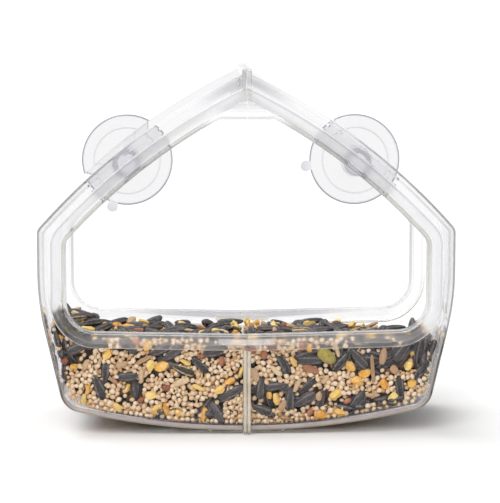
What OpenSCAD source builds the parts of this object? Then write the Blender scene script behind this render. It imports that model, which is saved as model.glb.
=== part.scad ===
// Window bird feeder: a clear house-shaped shell in two halves, with a seed tray and two suction cups.
// X runs along the width, -Y is the front, +Y faces the window and +Z is up. The halves meet at X = 0.

/* [Body] */
// Overall width across the side walls
body_w = 165; // [145:1:190]
// Depth from the front panel to the back panel, without the rims
body_d = 66; // [56:1:80]
// Height of the roof's outer surface at the seam
peak_z = 143.4; // [134:0.2:152]
// Height at which the roof line would meet the side wall
shoulder_z = 81.5; // [76:0.5:88]
// Radius of the roof's bow
roof_r = 250; // [200:5:500]
// Rounding of the outer shoulders
shoulder_r = 4; // [3.2:0.2:7]
// Wall thickness of the shell
wall_t = 2; // [1.4:0.1:2.6]

/* [Tray] */
// Height of the tray's underside at the seam
floor_z = 1.2; // [1:0.1:4]
// Radius of the underside's bow, whose lowest line is at the seam
floor_r = 290; // [200:5:600]
// Height below which the side walls lean in
bend_z = 64.5; // [58:0.5:72]
// Radius of the bend above the leaning stretch
bend_r = 100; // [60:5:140]
// Lean of the lower side walls
side_lean = 13; // [8:0.5:16]
// Rounding of the lower corners
corner_r = 9; // [6:0.5:16]

/* [Opening] */
// Width of the frame between the outline and the opening
frame_w = 11.3; // [10:0.1:14]
// Height of the lip's top edge at the seam
lip_z = 39.8; // [34:0.2:46]
// Angle at which the lip rises towards the sides
lip_rise = 1.3; // [0:0.1:2]
// Depth of the flat top of the opening under the meeting point of its two arms
web_drop = 5.8; // [3:0.1:8]
// Rounding of the opening's shoulders
open_shoulder_r = 5; // [3:0.5:9]
// Rounding of the opening's lower corners
open_corner_r = 12; // [8:0.5:16]

/* [Rim] */
// Width of the raised rim around each opening
rim_w = 6; // [5:0.1:7.5]
// Height that the rim stands out of the panel
rim_h = 2.4; // [1.6:0.1:3.2]
// Wall thickness of the hollow rim
rim_t = 1.6; // [1.2:0.1:1.8]
// Depth of the lip that returns from the rim's face into the opening
return_d = 6; // [4.6:0.1:8]

/* [Seam] */
// Gap between the two halves
seam_gap = 0.2; // [0.1:0.05:0.4]
// Thickness of each tray flange along the seam
tray_flange_t = 1.5; // [1:0.1:2.5]
// Thickness of each roof flange along the seam
roof_flange_t = 2.3; // [1.5:0.1:3]
// Height of the roof flange above the roof
ridge_h = 1.6; // [0.8:0.1:3]
// Length of the roof flange's bars down the front and back rims
bar_l = 14.4; // [10:0.2:16]
// Rounding of the flange corners
flange_r = 1.6; // [0.5:0.1:2.2]
// Length of the tongue that reaches into the other half's lip
tongue_l = 11.2; // [6:0.2:14]
// Length of the tongue at the peak
peak_tongue_l = 5; // [3:0.2:5.4]
// Clearance around a tongue
tongue_clear = 0.35; // [0.3:0.05:0.45]

/* [Feet] */
// Distance of each foot from the seam
foot_x = 14.5; // [10:0.5:30]
// Distance of each foot from the outer face of its panel
foot_in = 5; // [3:0.5:10]
// Radius of a foot
foot_r = 0.9; // [0.7:0.1:1.8]

/* [Suction cups] */
// Distance of each cup's axis from the seam
cup_x = 48.5; // [40:0.5:58]
// Radius of the cup
cup_r = 19.3; // [15:0.1:22]
// Distance from the back panel to the sealing face
cup_depth = 13; // [10:0.2:16]
// Width of the flat sealing ring
seal_w = 1.8; // [1:0.1:3]
// Radius of the raised ring on the cup
ring_r = 14.5; // [11:0.1:16]
// Height of the raised ring
ring_h = 0.5; // [0.2:0.1:1]
// Radius of the hub behind the panel
hub_r = 6; // [5:0.1:6.4]
// Height of the hub
hub_h = 3.4; // [3:0.1:4.5]
// Radius of the neck
neck_r = 3.8; // [2.8:0.1:4.4]
// Radius of the head inside the roof arm
head_r = 5.8; // [5.2:0.1:6.2]
// Thickness of the head
head_t = 2.6; // [2:0.1:4]
// Length of the pull tab past the cup's edge
tab_l = 4.4; // [3:0.1:8]
// Width of the pull tab
tab_w = 4.6; // [4:0.1:8]
// Thickness of the pull tab
tab_t = 1.2; // [0.8:0.1:1.8]
// Direction of the left cup's pull tab, seen from the front
left_tab_deg = 252; // [0:1:359]
// Direction of the right cup's pull tab, seen from the front
right_tab_deg = 188; // [0:1:359]
// Radial clearance of the neck in its slot
neck_clear = 0.1; // [0.05:0.01:0.2]
// Clearance of the head and the hub from the shell
cup_clear = 0.4; // [0.3:0.05:0.6]

/* [Seed] */
// Depth of the seed bed's top below the lip
fill_drop = 7; // [2.4:0.1:12]
// Clearance of the seed from the shell
seed_clear = 0.3; // [0.2:0.05:0.5]
// Length of a sunflower seed
seed_l = 11.5; // [9:0.1:14]
// Thickness of a sunflower seed
seed_t = 4.8; // [3.6:0.1:6]
// Space between neighbouring sunflower seeds
seed_space = 1.2; // [1:0.1:4]
// Height between the rows of seeds that show on the front and back of the bed
relief_rise = 8.6; // [8.4:0.1:14]
// Largest slant of a seed in those rows
relief_slant = 18; // [0:1:18]
// Radius of a piece of cracked corn
corn_r = 2.1; // [1.4:0.1:2.2]
// Height of a piece of cracked corn
corn_h = 3; // [2:0.1:4]
// Number that sets how the loose seeds lie
seed_lay = 7; // [1:1:40]

/* [Hidden] */

$fn = 64;
// Steps along each rounded stretch of an outline
roof_steps = 12;
bend_steps = 5;
round_steps = 6;
floor_steps = 8;
// Overrun of a cut past the face that it opens
over = 1;

half_w = body_w / 2;
half_d = body_d / 2;
// Middle of the whole depth, cups included, lies at Y = 0
y_shift = (rim_h - cup_depth) / 2;

// Roof bow: the circle through the peak and the shoulder
roof_from = [0, peak_z];
roof_to = [half_w, shoulder_z];
roof_chord = norm(roof_to - roof_from);
roof_in = [-(roof_from[1] - roof_to[1]), -(roof_to[0] - roof_from[0])] / roof_chord;
roof_c = (roof_from + roof_to) / 2 + roof_in * sqrt(pow(roof_r, 2) - pow(roof_chord / 2, 2));

// Outer corners
shoulder_c = under_roof(half_w - shoulder_r, shoulder_r);
bend_c = [half_w - bend_r, bend_z];
lean_n = [cos(side_lean), -sin(side_lean)];
lean_d = [-sin(side_lean), -cos(side_lean)];
lean_p = bend_c + bend_r * lean_n;
floor_c = [0, floor_z + floor_r];
// The lower corner touches the leaning wall and the underside's bow
corner_from = lean_p - corner_r * lean_n - floor_c;
corner_down = sqrt(pow(corner_from * lean_d, 2) + pow(floor_r - corner_r, 2) - corner_from * corner_from)
    - corner_from * lean_d;
corner_c = floor_c + corner_from + corner_down * lean_d;
floor_n = (corner_c - floor_c) / norm(corner_c - floor_c);

// Corners of the opening
open_x = half_w - frame_w;
open_shoulder_c = under_roof(open_x - open_shoulder_r, frame_w + open_shoulder_r);
open_corner_x = open_x - open_corner_r;
open_corner_c = [open_corner_x, lip_at(open_corner_x) + open_corner_r / cos(lip_rise)];
open_top_z = under_roof(0, frame_w)[1] - web_drop;
// Rim's outer line closes just under the roof at the seam
rim_top_z = under_roof(roof_flange_t, frame_w - rim_w)[1] - rim_t / 2;
bar_z = peak_z + ridge_h - bar_l;

// Cups hang in slots of the back panel, just clear of the roof
cup_c = under_roof(cup_x, wall_t + cup_clear + head_r);
slot_r = neck_r + neck_clear;
slot_gap = 2 * (max(hub_r, head_r) + 2 * cup_clear);
// Turn that brings Z across the roof arm at the cup, and reach of the cuts there
arm_turn = 90 - heading(cup_c - roof_c);
arm_reach = slot_gap + frame_w;

// Seed
bed_z = lip_z - fill_drop;
seed_pitch = seed_l + seed_space;
// Largest shift of a loose seed from its place in the pattern
seed_jitter = (seed_space - seed_clear) / 4;
// First and last place of a loose seed across the bed and along it
seed_margin = seed_clear + seed_jitter + seed_l / 2;
seed_x0 = seam_gap / 2 + seed_margin;
seed_x1 = lean_p[0] - (lean_p[1] - bed_z) * tan(side_lean) - wall_t / cos(side_lean) - seed_margin;
seed_y1 = half_d + rim_h - return_d - seed_margin;
seed_cols = floor((seed_x1 - seed_x0) / seed_pitch) + 1;
seed_rows = floor(2 * seed_y1 / seed_pitch) + 1;
// Seeds in relief on each face of the bed, counted so that they cover it, and half the height of a slanting one
relief_cols = floor(half_w / seed_pitch);
relief_rows = floor((bed_z - floor_z) / relief_rise);
relief_h = (seed_l * sin(relief_slant) + seed_t * cos(relief_slant)) / 2;

clear_plastic = [0.86, 0.91, 0.93, 0.35];
clear_vinyl = [0.90, 0.92, 0.93, 0.45];
seed_mix = [0.72, 0.55, 0.33];
sunflower_black = [0.16, 0.15, 0.15];
corn_yellow = [0.90, 0.66, 0.22];

// Point at distance x from the seam that lies a given depth under the roof's outer surface
function under_roof(x, depth) = [x, roof_c[1] + sqrt(pow(roof_r - depth, 2) - pow(x - roof_c[0], 2))];

// Height of the lip's top edge at distance x from the seam
function lip_at(x) = lip_z + x * tan(lip_rise);

// Height of the underside at distance x from the seam
function floor_at(x) = floor_c[1] - sqrt(pow(floor_r, 2) - pow(x, 2));

// Direction of a vector, in degrees
function heading(v) = atan2(v[1], v[0]);

// Points along an arc
function arc(c, r, from, to, steps) =
    [for (i = [0:steps]) let (a = from + (to - from) * i / steps) c + r * [cos(a), sin(a)]];

// Outline of the right half from the peak to the underside, moved in by inset
function body_outline(inset) =
    let (r = roof_r - inset, shoulder_a = heading(shoulder_c - roof_c))
    concat(
        arc(roof_c, r, acos(-roof_c[0] / r), shoulder_a, roof_steps),
        arc(shoulder_c, shoulder_r - inset, shoulder_a, 0, round_steps),
        arc(bend_c, bend_r - inset, 0, -side_lean, bend_steps),
        arc(corner_c, corner_r - inset, -side_lean, heading(floor_n), round_steps),
        arc(floor_c, floor_r - inset, heading(floor_n), -90, floor_steps)
    );

// Outline of the right half of the opening, moved out by grow
function open_outline(grow) =
    let (
        r = roof_r - frame_w + grow,
        top = open_top_z + (rim_top_z - open_top_z) * grow / rim_w,
        shoulder_a = heading(open_shoulder_c - roof_c)
    )
    concat(
        [[0, top]],
        arc(roof_c, r, asin((top - roof_c[1]) / r), shoulder_a, roof_steps),
        arc(open_shoulder_c, open_shoulder_r + grow, shoulder_a, 0, round_steps),
        arc(open_corner_c, open_corner_r + grow, 0, lip_rise - 90, round_steps),
        [[0, lip_z - grow / cos(lip_rise)]]
    );

// Same outline carried past the seam, for a cut that opens it
function past_seam(line) =
    concat([[-over, line[0][1]]], line, [[-over, line[len(line) - 1][1]]]);

// Extrudes an outline of X and Z along Y
module along_y(from, to) {
    translate([0, to, 0]) rotate([90, 0, 0]) linear_extrude(to - from) children();
}

// Extrudes an outline of Y and Z along X
module along_x(from, to) {
    translate([from, 0, 0]) rotate([90, 0, 90]) linear_extrude(to - from) children();
}

// Band around the opening between two distances from its edge
module band(from, to, outer, inner) {
    along_y(from, to) difference() {
        polygon(open_outline(outer));
        polygon(past_seam(open_outline(inner)));
    }
}

// Part of a band that lies between two distances from the seam and between two heights
module band_piece(from, to, outer, inner, x0, x1, z0, z1) {
    intersection() {
        band(from, to, outer, inner);
        translate([x0, from - over, z0]) cube([x1 - x0, to - from + 2 * over, z1 - z0]);
    }
}

// Puts a piece at the cup's axis with its X along the roof arm and its Z across it
module on_arm() {
    translate([cup_x, 0, cup_c[1]]) rotate([0, arm_turn, 0]) children();
}

// Part of a band that lies between two distances from the cup's axis along the roof arm
module arm_piece(from, to, outer, inner, x0, x1) {
    intersection() {
        band(from, to, outer, inner);
        on_arm() translate([x0, from - over, -arm_reach])
            cube([x1 - x0, to - from + 2 * over, 2 * arm_reach]);
    }
}

// Back panel with its hollow raised rim and the lip that returns from it
module face() {
    along_y(half_d - wall_t, half_d) difference() {
        polygon(body_outline(0));
        polygon(past_seam(open_outline(rim_w - rim_t)));
    }
    band(half_d - wall_t, half_d + rim_h, rim_w, rim_w - rim_t);
    band(half_d + rim_h - rim_t, half_d + rim_h, rim_w, 0);
    band(half_d + rim_h - return_d, half_d + rim_h, rim_t, 0);
}

// Break in the back rim: a flat stretch of panel between two end walls, with the neck's slot across the arm
module slotted_face() {
    gap_x = slot_gap / 2;
    inside = half_d - wall_t;
    rim_back = half_d + rim_h;
    slot_d = wall_t + 2 * over;
    difference() {
        union() {
            difference() {
                face();
                arm_piece(rim_back - return_d - over, rim_back + over, rim_w, -over, -gap_x, gap_x);
            }
            arm_piece(inside, half_d, rim_w, 0, -gap_x - rim_t, gap_x + rim_t);
            for (x = [-gap_x - rim_t, gap_x])
                arm_piece(inside, rim_back, rim_w, 0, x, x + rim_t);
        }
        on_arm() {
            translate([0, half_d + over, 0]) rotate([90, 0, 0]) cylinder(h = slot_d, r = slot_r);
            translate([-slot_r, inside - over, -arm_reach]) cube([2 * slot_r, slot_d, arm_reach]);
        }
    }
}

// Outline of a seam flange, rounded at its four corners
module flange_outline(z0, z1) {
    reach = half_d + rim_h;
    polygon(concat(
        arc([reach - flange_r, z0 + flange_r], flange_r, -90, 0, round_steps),
        arc([reach - flange_r, z1 - flange_r], flange_r, 0, 90, round_steps),
        arc([flange_r - reach, z1 - flange_r], flange_r, 90, 180, round_steps),
        arc([flange_r - reach, z0 + flange_r], flange_r, 180, 270, round_steps)
    ));
}

// Flanges that stand out along the seam, around the tray and over the roof
module flanges() {
    inner_d = half_d - wall_t;
    tray_top = lip_z - rim_w + flange_r;
    along_x(0, tray_flange_t) difference() {
        flange_outline(0, tray_top);
        translate([-inner_d, floor_z + wall_t]) square([2 * inner_d, tray_top]);
    }
    along_x(0, roof_flange_t) difference() {
        flange_outline(bar_z, peak_z + ridge_h);
        translate([-inner_d, bar_z - over]) square([2 * inner_d, peak_z - 2 * wall_t - bar_z + over]);
    }
}

// Hollow of the rim on the back, between its walls
module rim_hollow() {
    band(half_d - wall_t - over, half_d + rim_h - rim_t, rim_w - rim_t, rim_t);
}

// Feet under the tray, level with the flange
module feet() {
    for (y = [foot_in - half_d, half_d - foot_in])
        translate([foot_x, y, 0]) cylinder(h = floor_at(foot_x) + wall_t / 2, r = foot_r);
}

// Right half without its tongues
module half_shell() {
    difference() {
        union() {
            along_y(-half_d, half_d) difference() {
                polygon(body_outline(0));
                polygon(past_seam(body_outline(wall_t)));
            }
            slotted_face();
            mirror([0, 1, 0]) face();
            difference() {
                flanges();
                rim_hollow();
                mirror([0, 1, 0]) rim_hollow();
            }
            feet();
        }
        translate([-over, -body_d, -over])
            cube([over + seam_gap / 2, 2 * body_d, peak_z + ridge_h + 2 * over]);
    }
}

// Tongue of the back rim: its root fills the rim's hollow, and its tip enters the other half's
module tongue(length, z0, z1) {
    from = half_d - wall_t;
    to = half_d + rim_h - rim_t;
    band_piece(from, to, rim_w - rim_t, rim_t, seam_gap / 2, length, z0, z1);
    tip_outer = rim_w - rim_t - tongue_clear;
    tip_inner = rim_t + tongue_clear;
    band_piece(from, to - tongue_clear, tip_outer, tip_inner, 0, seam_gap, z0, z1);
    mirror([1, 0, 0])
        band_piece(from, to - tongue_clear, tip_outer, tip_inner, 0, length, z0, z1);
}

// Tongues of the back rim, at the lip and at the peak
module tongues() {
    middle_z = (lip_z + open_top_z) / 2;
    tongue(tongue_l, 0, middle_z);
    tongue(peak_tongue_l, middle_z, peak_z);
}

// Section of a cup from its head to its sealing face: radius and distance behind the panel
function cup_section() =
    let (
        head_back = -wall_t - cup_clear / 2,
        head_front = head_back - head_t,
        head_round = head_t / 2,
        edge_h = cup_depth - seal_w / 2,
        bell_slope = (edge_h - hub_h) / (cup_r - hub_r),
        ring_at = hub_h + (ring_r - hub_r) * bell_slope,
        hollow_h = hub_h + (cup_depth - hub_h) / 2
    )
    concat(
        [[0, head_front]],
        arc([head_r - head_round, head_front + head_round], head_round, -90, 0, round_steps),
        [
            [head_r, head_back], [neck_r, head_back], [neck_r, cup_clear],
            [hub_r, cup_clear], [hub_r, hub_h],
            [ring_r - 2 * ring_h, ring_at - 2 * ring_h * bell_slope],
            [ring_r - ring_h, ring_at - 2 * ring_h], [ring_r + ring_h, ring_at - ring_h],
            [ring_r + 2 * ring_h, ring_at + 2 * ring_h * bell_slope],
            [cup_r, edge_h], [cup_r, cup_depth], [cup_r - seal_w, cup_depth],
            [ring_r, (hollow_h + cup_depth) / 2 + ring_h], [hub_r, hollow_h], [0, hollow_h]
        ]
    );

// Suction cup in one piece, with its pull tab in a given direction
module suction_cup(tab_deg) {
    root = cup_r - seal_w / 2;
    tab_z = cup_depth - seal_w / 2 - tab_t / 2;
    color(clear_vinyl) translate([0, half_d + y_shift, cup_c[1]]) rotate([-90, 0, 0]) {
        rotate_extrude() polygon(cup_section());
        rotate([0, 0, -tab_deg]) translate([root, 0, tab_z]) linear_extrude(tab_t) {
            translate([0, -tab_w / 2]) square([cup_r + tab_l - tab_w / 2 - root, tab_w]);
            translate([cup_r + tab_l - tab_w / 2 - root, 0]) circle(d = tab_w);
        }
    }
}

// Sunflower seed along X
module sunflower_seed() {
    r = seed_t / 2;
    tip = r / 6;
    rotate([0, 90, 0]) rotate_extrude() polygon([
        [0, -seed_l / 2], [r / 2, -seed_l / 2 + r / 4], [r, -seed_l / 6], [r, 0], [r / 2, seed_l / 3],
        [tip, seed_l / 2], [0, seed_l / 2]
    ]);
}

// Place of a seed in relief, in columns from the seam and rows from the top, each row set off from the next
function relief_p(col, row) = [
    seed_x0 + (col + (row % 2) / 2) * seed_pitch, bed_z - seed_clear - relief_h - row * relief_rise
];

// Whether a seed at a point on the front or back of the bed keeps inside its outline
function seed_fits(p) =
    let (inset = wall_t + seed_clear, q = p - corner_c)
    (p - lean_p) * lean_n <= -inset - seed_l / 2 && norm(p - floor_c) <= floor_r - inset - relief_h
    && (q * lean_n < 0 || q * floor_n < 0);

// Outlines of the slanting seeds in relief on one face of the bed, at a share of their size
module seed_outlines(lay, share) {
    slant = rands(-relief_slant, relief_slant, relief_cols * relief_rows, lay);
    l = share * seed_l / 2;
    t = share * seed_t / 2;
    for (col = [0:relief_cols - 1], row = [0:relief_rows - 1])
        if (seed_fits(relief_p(col, row)))
            translate(relief_p(col, row)) rotate(slant[col * relief_rows + row])
                polygon([[-l, 0], [-l / 2, -t], [l / 3, -t], [l, 0], [l / 3, t], [-l / 2, t]]);
}

// Relief of the seeds that lie against a panel: stepped lumps on the plane of X and Z, towards +Y
module seed_relief(lay) {
    h = seed_t / 2;
    along_y(-h, h / 2) seed_outlines(lay, 1);
    along_y(-h, h) seed_outlines(lay, 2 / 3);
}

// Bulk of the seed in the right half, whose outermost seeds stand half out of its front and back
module seed_bed(lay) {
    inset = wall_t + seed_clear;
    face_y = half_d - inset - seed_t / 2;
    intersection() {
        along_y(-face_y, face_y) polygon(body_outline(inset));
        translate([seam_gap / 2 + seed_clear, -half_d, 0]) cube([half_w, body_d, bed_z]);
    }
    translate([0, face_y, 0]) seed_relief(lay + 3);
    mirror([0, 1, 0]) translate([0, face_y, 0]) seed_relief(lay + 4);
}

// Place of a loose seed on the bed, in columns from the seam and rows from the middle
function seed_x(col) = seed_x0 + (seed_x1 - seed_x0) * col / (seed_cols - 1);
function seed_y(row) = seed_y1 * (2 * row / (seed_rows - 1) - 1);

// Puts a piece on top of the bed
module on_bed(x, y) {
    translate([x, y, bed_z + seed_clear]) children();
}

// Sunflower seeds lying on the bed of the right half
module sunflower_seeds(lay) {
    turn = rands(0, 180, seed_cols * seed_rows, lay);
    shift = rands(-seed_jitter, seed_jitter, 2 * seed_cols * seed_rows, lay + 1);
    for (col = [0:seed_cols - 1], row = [0:seed_rows - 1])
        let (i = col * seed_rows + row)
            on_bed(seed_x(col) + shift[2 * i], seed_y(row) + shift[2 * i + 1])
                translate([0, 0, seed_t / 2]) rotate([0, 0, turn[i]]) sunflower_seed();
}

// Pieces of cracked corn between the sunflower seeds of the right half
module corn_pieces(lay) {
    turn = rands(0, 72, seed_cols * seed_rows, lay + 2);
    for (col = [0:seed_cols - 2], row = [0:seed_rows - 2])
        on_bed(seed_x(col + 0.5), seed_y(row + 0.5))
            rotate([0, 0, turn[col * seed_rows + row]]) cylinder(h = corn_h, r = corn_r, $fn = 5);
}

module left_half() {
    color(clear_plastic) translate([0, y_shift, 0]) mirror([1, 0, 0]) {
        half_shell();
        mirror([0, 1, 0]) tongues();
    }
}

module right_half() {
    color(clear_plastic) translate([0, y_shift, 0]) {
        half_shell();
        tongues();
    }
}

module left_suction_cup() {
    translate([-cup_x, 0, 0]) suction_cup(left_tab_deg);
}

module right_suction_cup() {
    translate([cup_x, 0, 0]) suction_cup(right_tab_deg);
}

module left_seed_bed() {
    color(seed_mix) translate([0, y_shift, 0]) mirror([1, 0, 0]) seed_bed(seed_lay);
}

module right_seed_bed() {
    color(seed_mix) translate([0, y_shift, 0]) seed_bed(2 * seed_lay + 1);
}

module left_sunflower_seeds() {
    color(sunflower_black) translate([0, y_shift, 0]) mirror([1, 0, 0]) sunflower_seeds(seed_lay);
}

module right_sunflower_seeds() {
    color(sunflower_black) translate([0, y_shift, 0]) sunflower_seeds(2 * seed_lay + 1);
}

module left_corn_pieces() {
    color(corn_yellow) translate([0, y_shift, 0]) mirror([1, 0, 0]) corn_pieces(seed_lay);
}

module right_corn_pieces() {
    color(corn_yellow) translate([0, y_shift, 0]) corn_pieces(2 * seed_lay + 1);
}

left_half();
right_half();
left_suction_cup();
right_suction_cup();
left_seed_bed();
right_seed_bed();
left_sunflower_seeds();
right_sunflower_seeds();
left_corn_pieces();
right_corn_pieces();
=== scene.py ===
"""Dresses the window bird feeder: clear shell halves, soft suction cups, loose mixed seed and a studio."""

import logging
from dataclasses import dataclass, field
from enum import Enum

import bpy
import numpy as np
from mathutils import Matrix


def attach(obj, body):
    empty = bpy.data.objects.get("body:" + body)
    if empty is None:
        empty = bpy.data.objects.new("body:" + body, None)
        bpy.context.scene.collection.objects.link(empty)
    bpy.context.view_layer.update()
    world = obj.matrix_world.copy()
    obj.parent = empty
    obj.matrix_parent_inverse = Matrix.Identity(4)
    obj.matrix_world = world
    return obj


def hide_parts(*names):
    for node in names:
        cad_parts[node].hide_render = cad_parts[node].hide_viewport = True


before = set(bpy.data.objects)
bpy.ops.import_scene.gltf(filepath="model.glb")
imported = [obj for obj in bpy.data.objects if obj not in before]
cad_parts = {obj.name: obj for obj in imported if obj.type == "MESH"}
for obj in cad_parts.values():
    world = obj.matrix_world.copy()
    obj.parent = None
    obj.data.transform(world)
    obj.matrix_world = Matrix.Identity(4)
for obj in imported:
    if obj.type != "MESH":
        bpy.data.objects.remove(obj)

log = logging.getLogger("feeder")

# Short names of types that come up often
Array, Socket, Node, Tree = np.ndarray, bpy.types.NodeSocket, bpy.types.Node, bpy.types.NodeTree
Material, Object = bpy.types.Material, bpy.types.Object

# Every size below is in millimetres, in the frame of the part, and becomes metres when a mesh is made
MM = 0.001
# Middle of the depth between the panels, on Y
Y_MID = -5.3
# Longest stretch that is kept flat beside a rounded corner
FLAT_HOLD = 0.4


def linear(code: str) -> tuple[float, float, float, float]:
    """Linear colour of a hex code.

    Args:
        code: Six hex digits of an sRGB colour.

    Returns:
        Red, green, blue and alpha for a shader socket.
    """
    part = np.array([int(code[i:i + 2], 16) for i in (0, 2, 4)]) / 255.0
    part = np.where(part <= 0.04045, part / 12.92, ((part + 0.055) / 1.055) ** 2.4)
    return float(part[0]), float(part[1]), float(part[2]), 1.0


def ease(t: Array) -> Array:
    """Smooth step 3t^2 - 2t^3, with t held between 0 and 1."""
    t = np.clip(t, 0.0, 1.0)
    return t * t * (3.0 - 2.0 * t)


def unit(v: Array) -> Array:
    """Vectors of length 1 along the last axis."""
    return v / np.linalg.norm(v, axis=-1, keepdims=True)


def turned(deg: float | Array) -> Array:
    """Unit vectors at angles in degrees, as cosine and sine on the last axis."""
    a = np.radians(deg)
    return np.stack([np.cos(a), np.sin(a)], axis=-1)


def round_corners(corner: Array, edge: Array, reach: Array, steps: int) -> Array:
    """Replaces each corner of a loop by a short bow with one flat point on each side.

    The bow is the parabola (1-t)^2 A + 2t(1-t) C + t^2 B, where A and B lie at the corner's reach from C
    towards its neighbours. The flat points lie a little further away, so that the flats stay flat in shading.

    Args:
        corner: Corners, n by 2.
        edge: Way from each corner to the next one, n by 2.
        reach: Length of flat that each bow takes up on either side.
        steps: Number of stretches in a bow.

    Returns:
        Points, n by steps + 3 by 2.
    """
    length = np.linalg.norm(edge, axis=1)
    ahead = edge / length[:, None]
    back = -np.roll(ahead, 1, axis=0)
    hold = np.minimum(FLAT_HOLD, 0.25 * (length - reach - np.roll(reach, -1)))[:, None]
    c = corner[:, None, :]
    a = c + (back * reach[:, None])[:, None, :]
    b = c + (ahead * reach[:, None])[:, None, :]
    t = np.linspace(0.0, 1.0, steps + 1)[None, :, None]
    bow = (1 - t) ** 2 * a + 2 * t * (1 - t) * c + t ** 2 * b
    before = a + (back * np.roll(hold, 1, axis=0))[:, None, :]
    after = b + (ahead * hold)[:, None, :]
    return np.concatenate([before, bow, after], axis=1)


def rounded_loop(corner: Array, reach: Array, steps: int, closed: bool) -> Array:
    """Rounds a polyline's corners with round_corners, leaving the ends of an open one as they are.

    Args:
        corner: Corners, n by 2.
        reach: Length of flat that each bow takes up on either side.
        steps: Number of stretches in a bow.
        closed: Whether the last corner joins the first.

    Returns:
        Points, m by 2.
    """
    points = round_corners(corner, np.roll(corner, -1, axis=0) - corner, reach, steps)
    if closed:
        return points.reshape(-1, 2)
    return np.concatenate([corner[:1], points[1:-1].reshape(-1, 2), corner[-1:]])


def rounded_box(low: tuple[float, float], high: tuple[float, float], reach: float, steps: int) -> Array:
    """Rectangle between two opposite corners, rounded by rounded_loop."""
    (a, b), (c, d) = low, high
    return rounded_loop(np.array([[a, b], [c, b], [c, d], [a, d]]), np.full(4, reach), steps, True)


@dataclass
class Surface:
    """Points and faces of one mesh, with values carried by its points."""

    points: Array
    faces: list[list[int]]
    values: dict[str, Array] = field(default_factory=dict)

    def mirrored(self) -> "Surface":
        """The same surface on the other side of the seam, still facing outwards."""
        return Surface(self.points * (-1.0, 1.0, 1.0), [f[::-1] for f in self.faces], dict(self.values))

    def joined(self, other: "Surface") -> "Surface":
        """This surface and another one as a single mesh."""
        start = len(self.points)
        shifted = [[i + start for i in f] for f in other.faces]
        return Surface(np.concatenate([self.points, other.points]), self.faces + shifted)


def tube(grid: Array) -> Surface:
    """Closed surface through a row of loops, with a flat face over each end.

    Point i, j of the grid joins points i + 1, j and i, j + 1, and the last j joins the first. The faces are
    turned round where the enclosed volume comes out negative, so they always point outwards.

    Args:
        grid: Loops, n by m by 3.

    Returns:
        The surface.
    """
    n, m, _ = grid.shape
    i, j = np.meshgrid(np.arange(n - 1), np.arange(m), indexing="ij")
    k = (j + 1) % m
    quads = np.stack([i * m + j, i * m + k, (i + 1) * m + k, (i + 1) * m + j], axis=-1).reshape(-1, 4)
    flat = grid.reshape(-1, 3)
    q = flat[quads] - flat.mean(axis=0)
    volume = np.einsum("ij,ij->", q[:, 0], np.cross(q[:, 1], q[:, 2]))
    volume += np.einsum("ij,ij->", q[:, 0], np.cross(q[:, 2], q[:, 3]))
    first, last = np.arange(m)[::-1].tolist(), ((n - 1) * m + np.arange(m)).tolist()
    faces = quads.tolist() + [first, last]
    return Surface(flat, faces if volume > 0 else [f[::-1] for f in faces])


def both_faces(line: Array, y: Array) -> Surface:
    """Two tubes along lines in width and height, at distances y before and behind the middle of the depth."""
    front, back = (tube(np.stack([line[..., 0], Y_MID + d, line[..., 1]], axis=-1)) for d in (-y, y))
    return front.joined(back)


class Side(Enum):
    """Half of the feeder."""

    LEFT = "left"
    RIGHT = "right"

    @property
    def sign(self) -> float:
        """Sign of X on this side."""
        return -1.0 if self is Side.LEFT else 1.0

    @property
    def body(self) -> str:
        """Body of the part that the half's pieces ride on, which is also the name of its shell's node."""
        return f"{self.value}_half"


def add_piece(
    name: str, shape: Surface, finish: Material, body: str, sharp: float
) -> Object:
    """Makes a piece from a surface in millimetres and lets it ride on a body.

    Args:
        name: Name of the piece.
        shape: Its surface.
        finish: Its material.
        body: Body of the part that it moves with.
        sharp: Angle in degrees above which an edge stays sharp.

    Returns:
        The new object.
    """
    mesh = bpy.data.meshes.new(name)
    mesh.from_pydata((shape.points * MM).tolist(), [], shape.faces)
    mesh.shade_smooth()
    mesh.set_sharp_from_angle(angle=np.radians(sharp))
    for key, value in shape.values.items():
        kind, entry = ("FLOAT", "value") if value.ndim == 1 else ("FLOAT_VECTOR", "vector")
        mesh.attributes.new(key, kind, "POINT").data.foreach_set(entry, value.astype(np.float32).ravel())
    mesh.materials.append(finish)
    piece = bpy.data.objects.new(name, mesh)
    bpy.context.scene.collection.objects.link(piece)
    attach(piece, body)
    log.info("%s: %d points, %d faces", name, len(mesh.vertices), len(mesh.polygons))
    return piece


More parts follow.
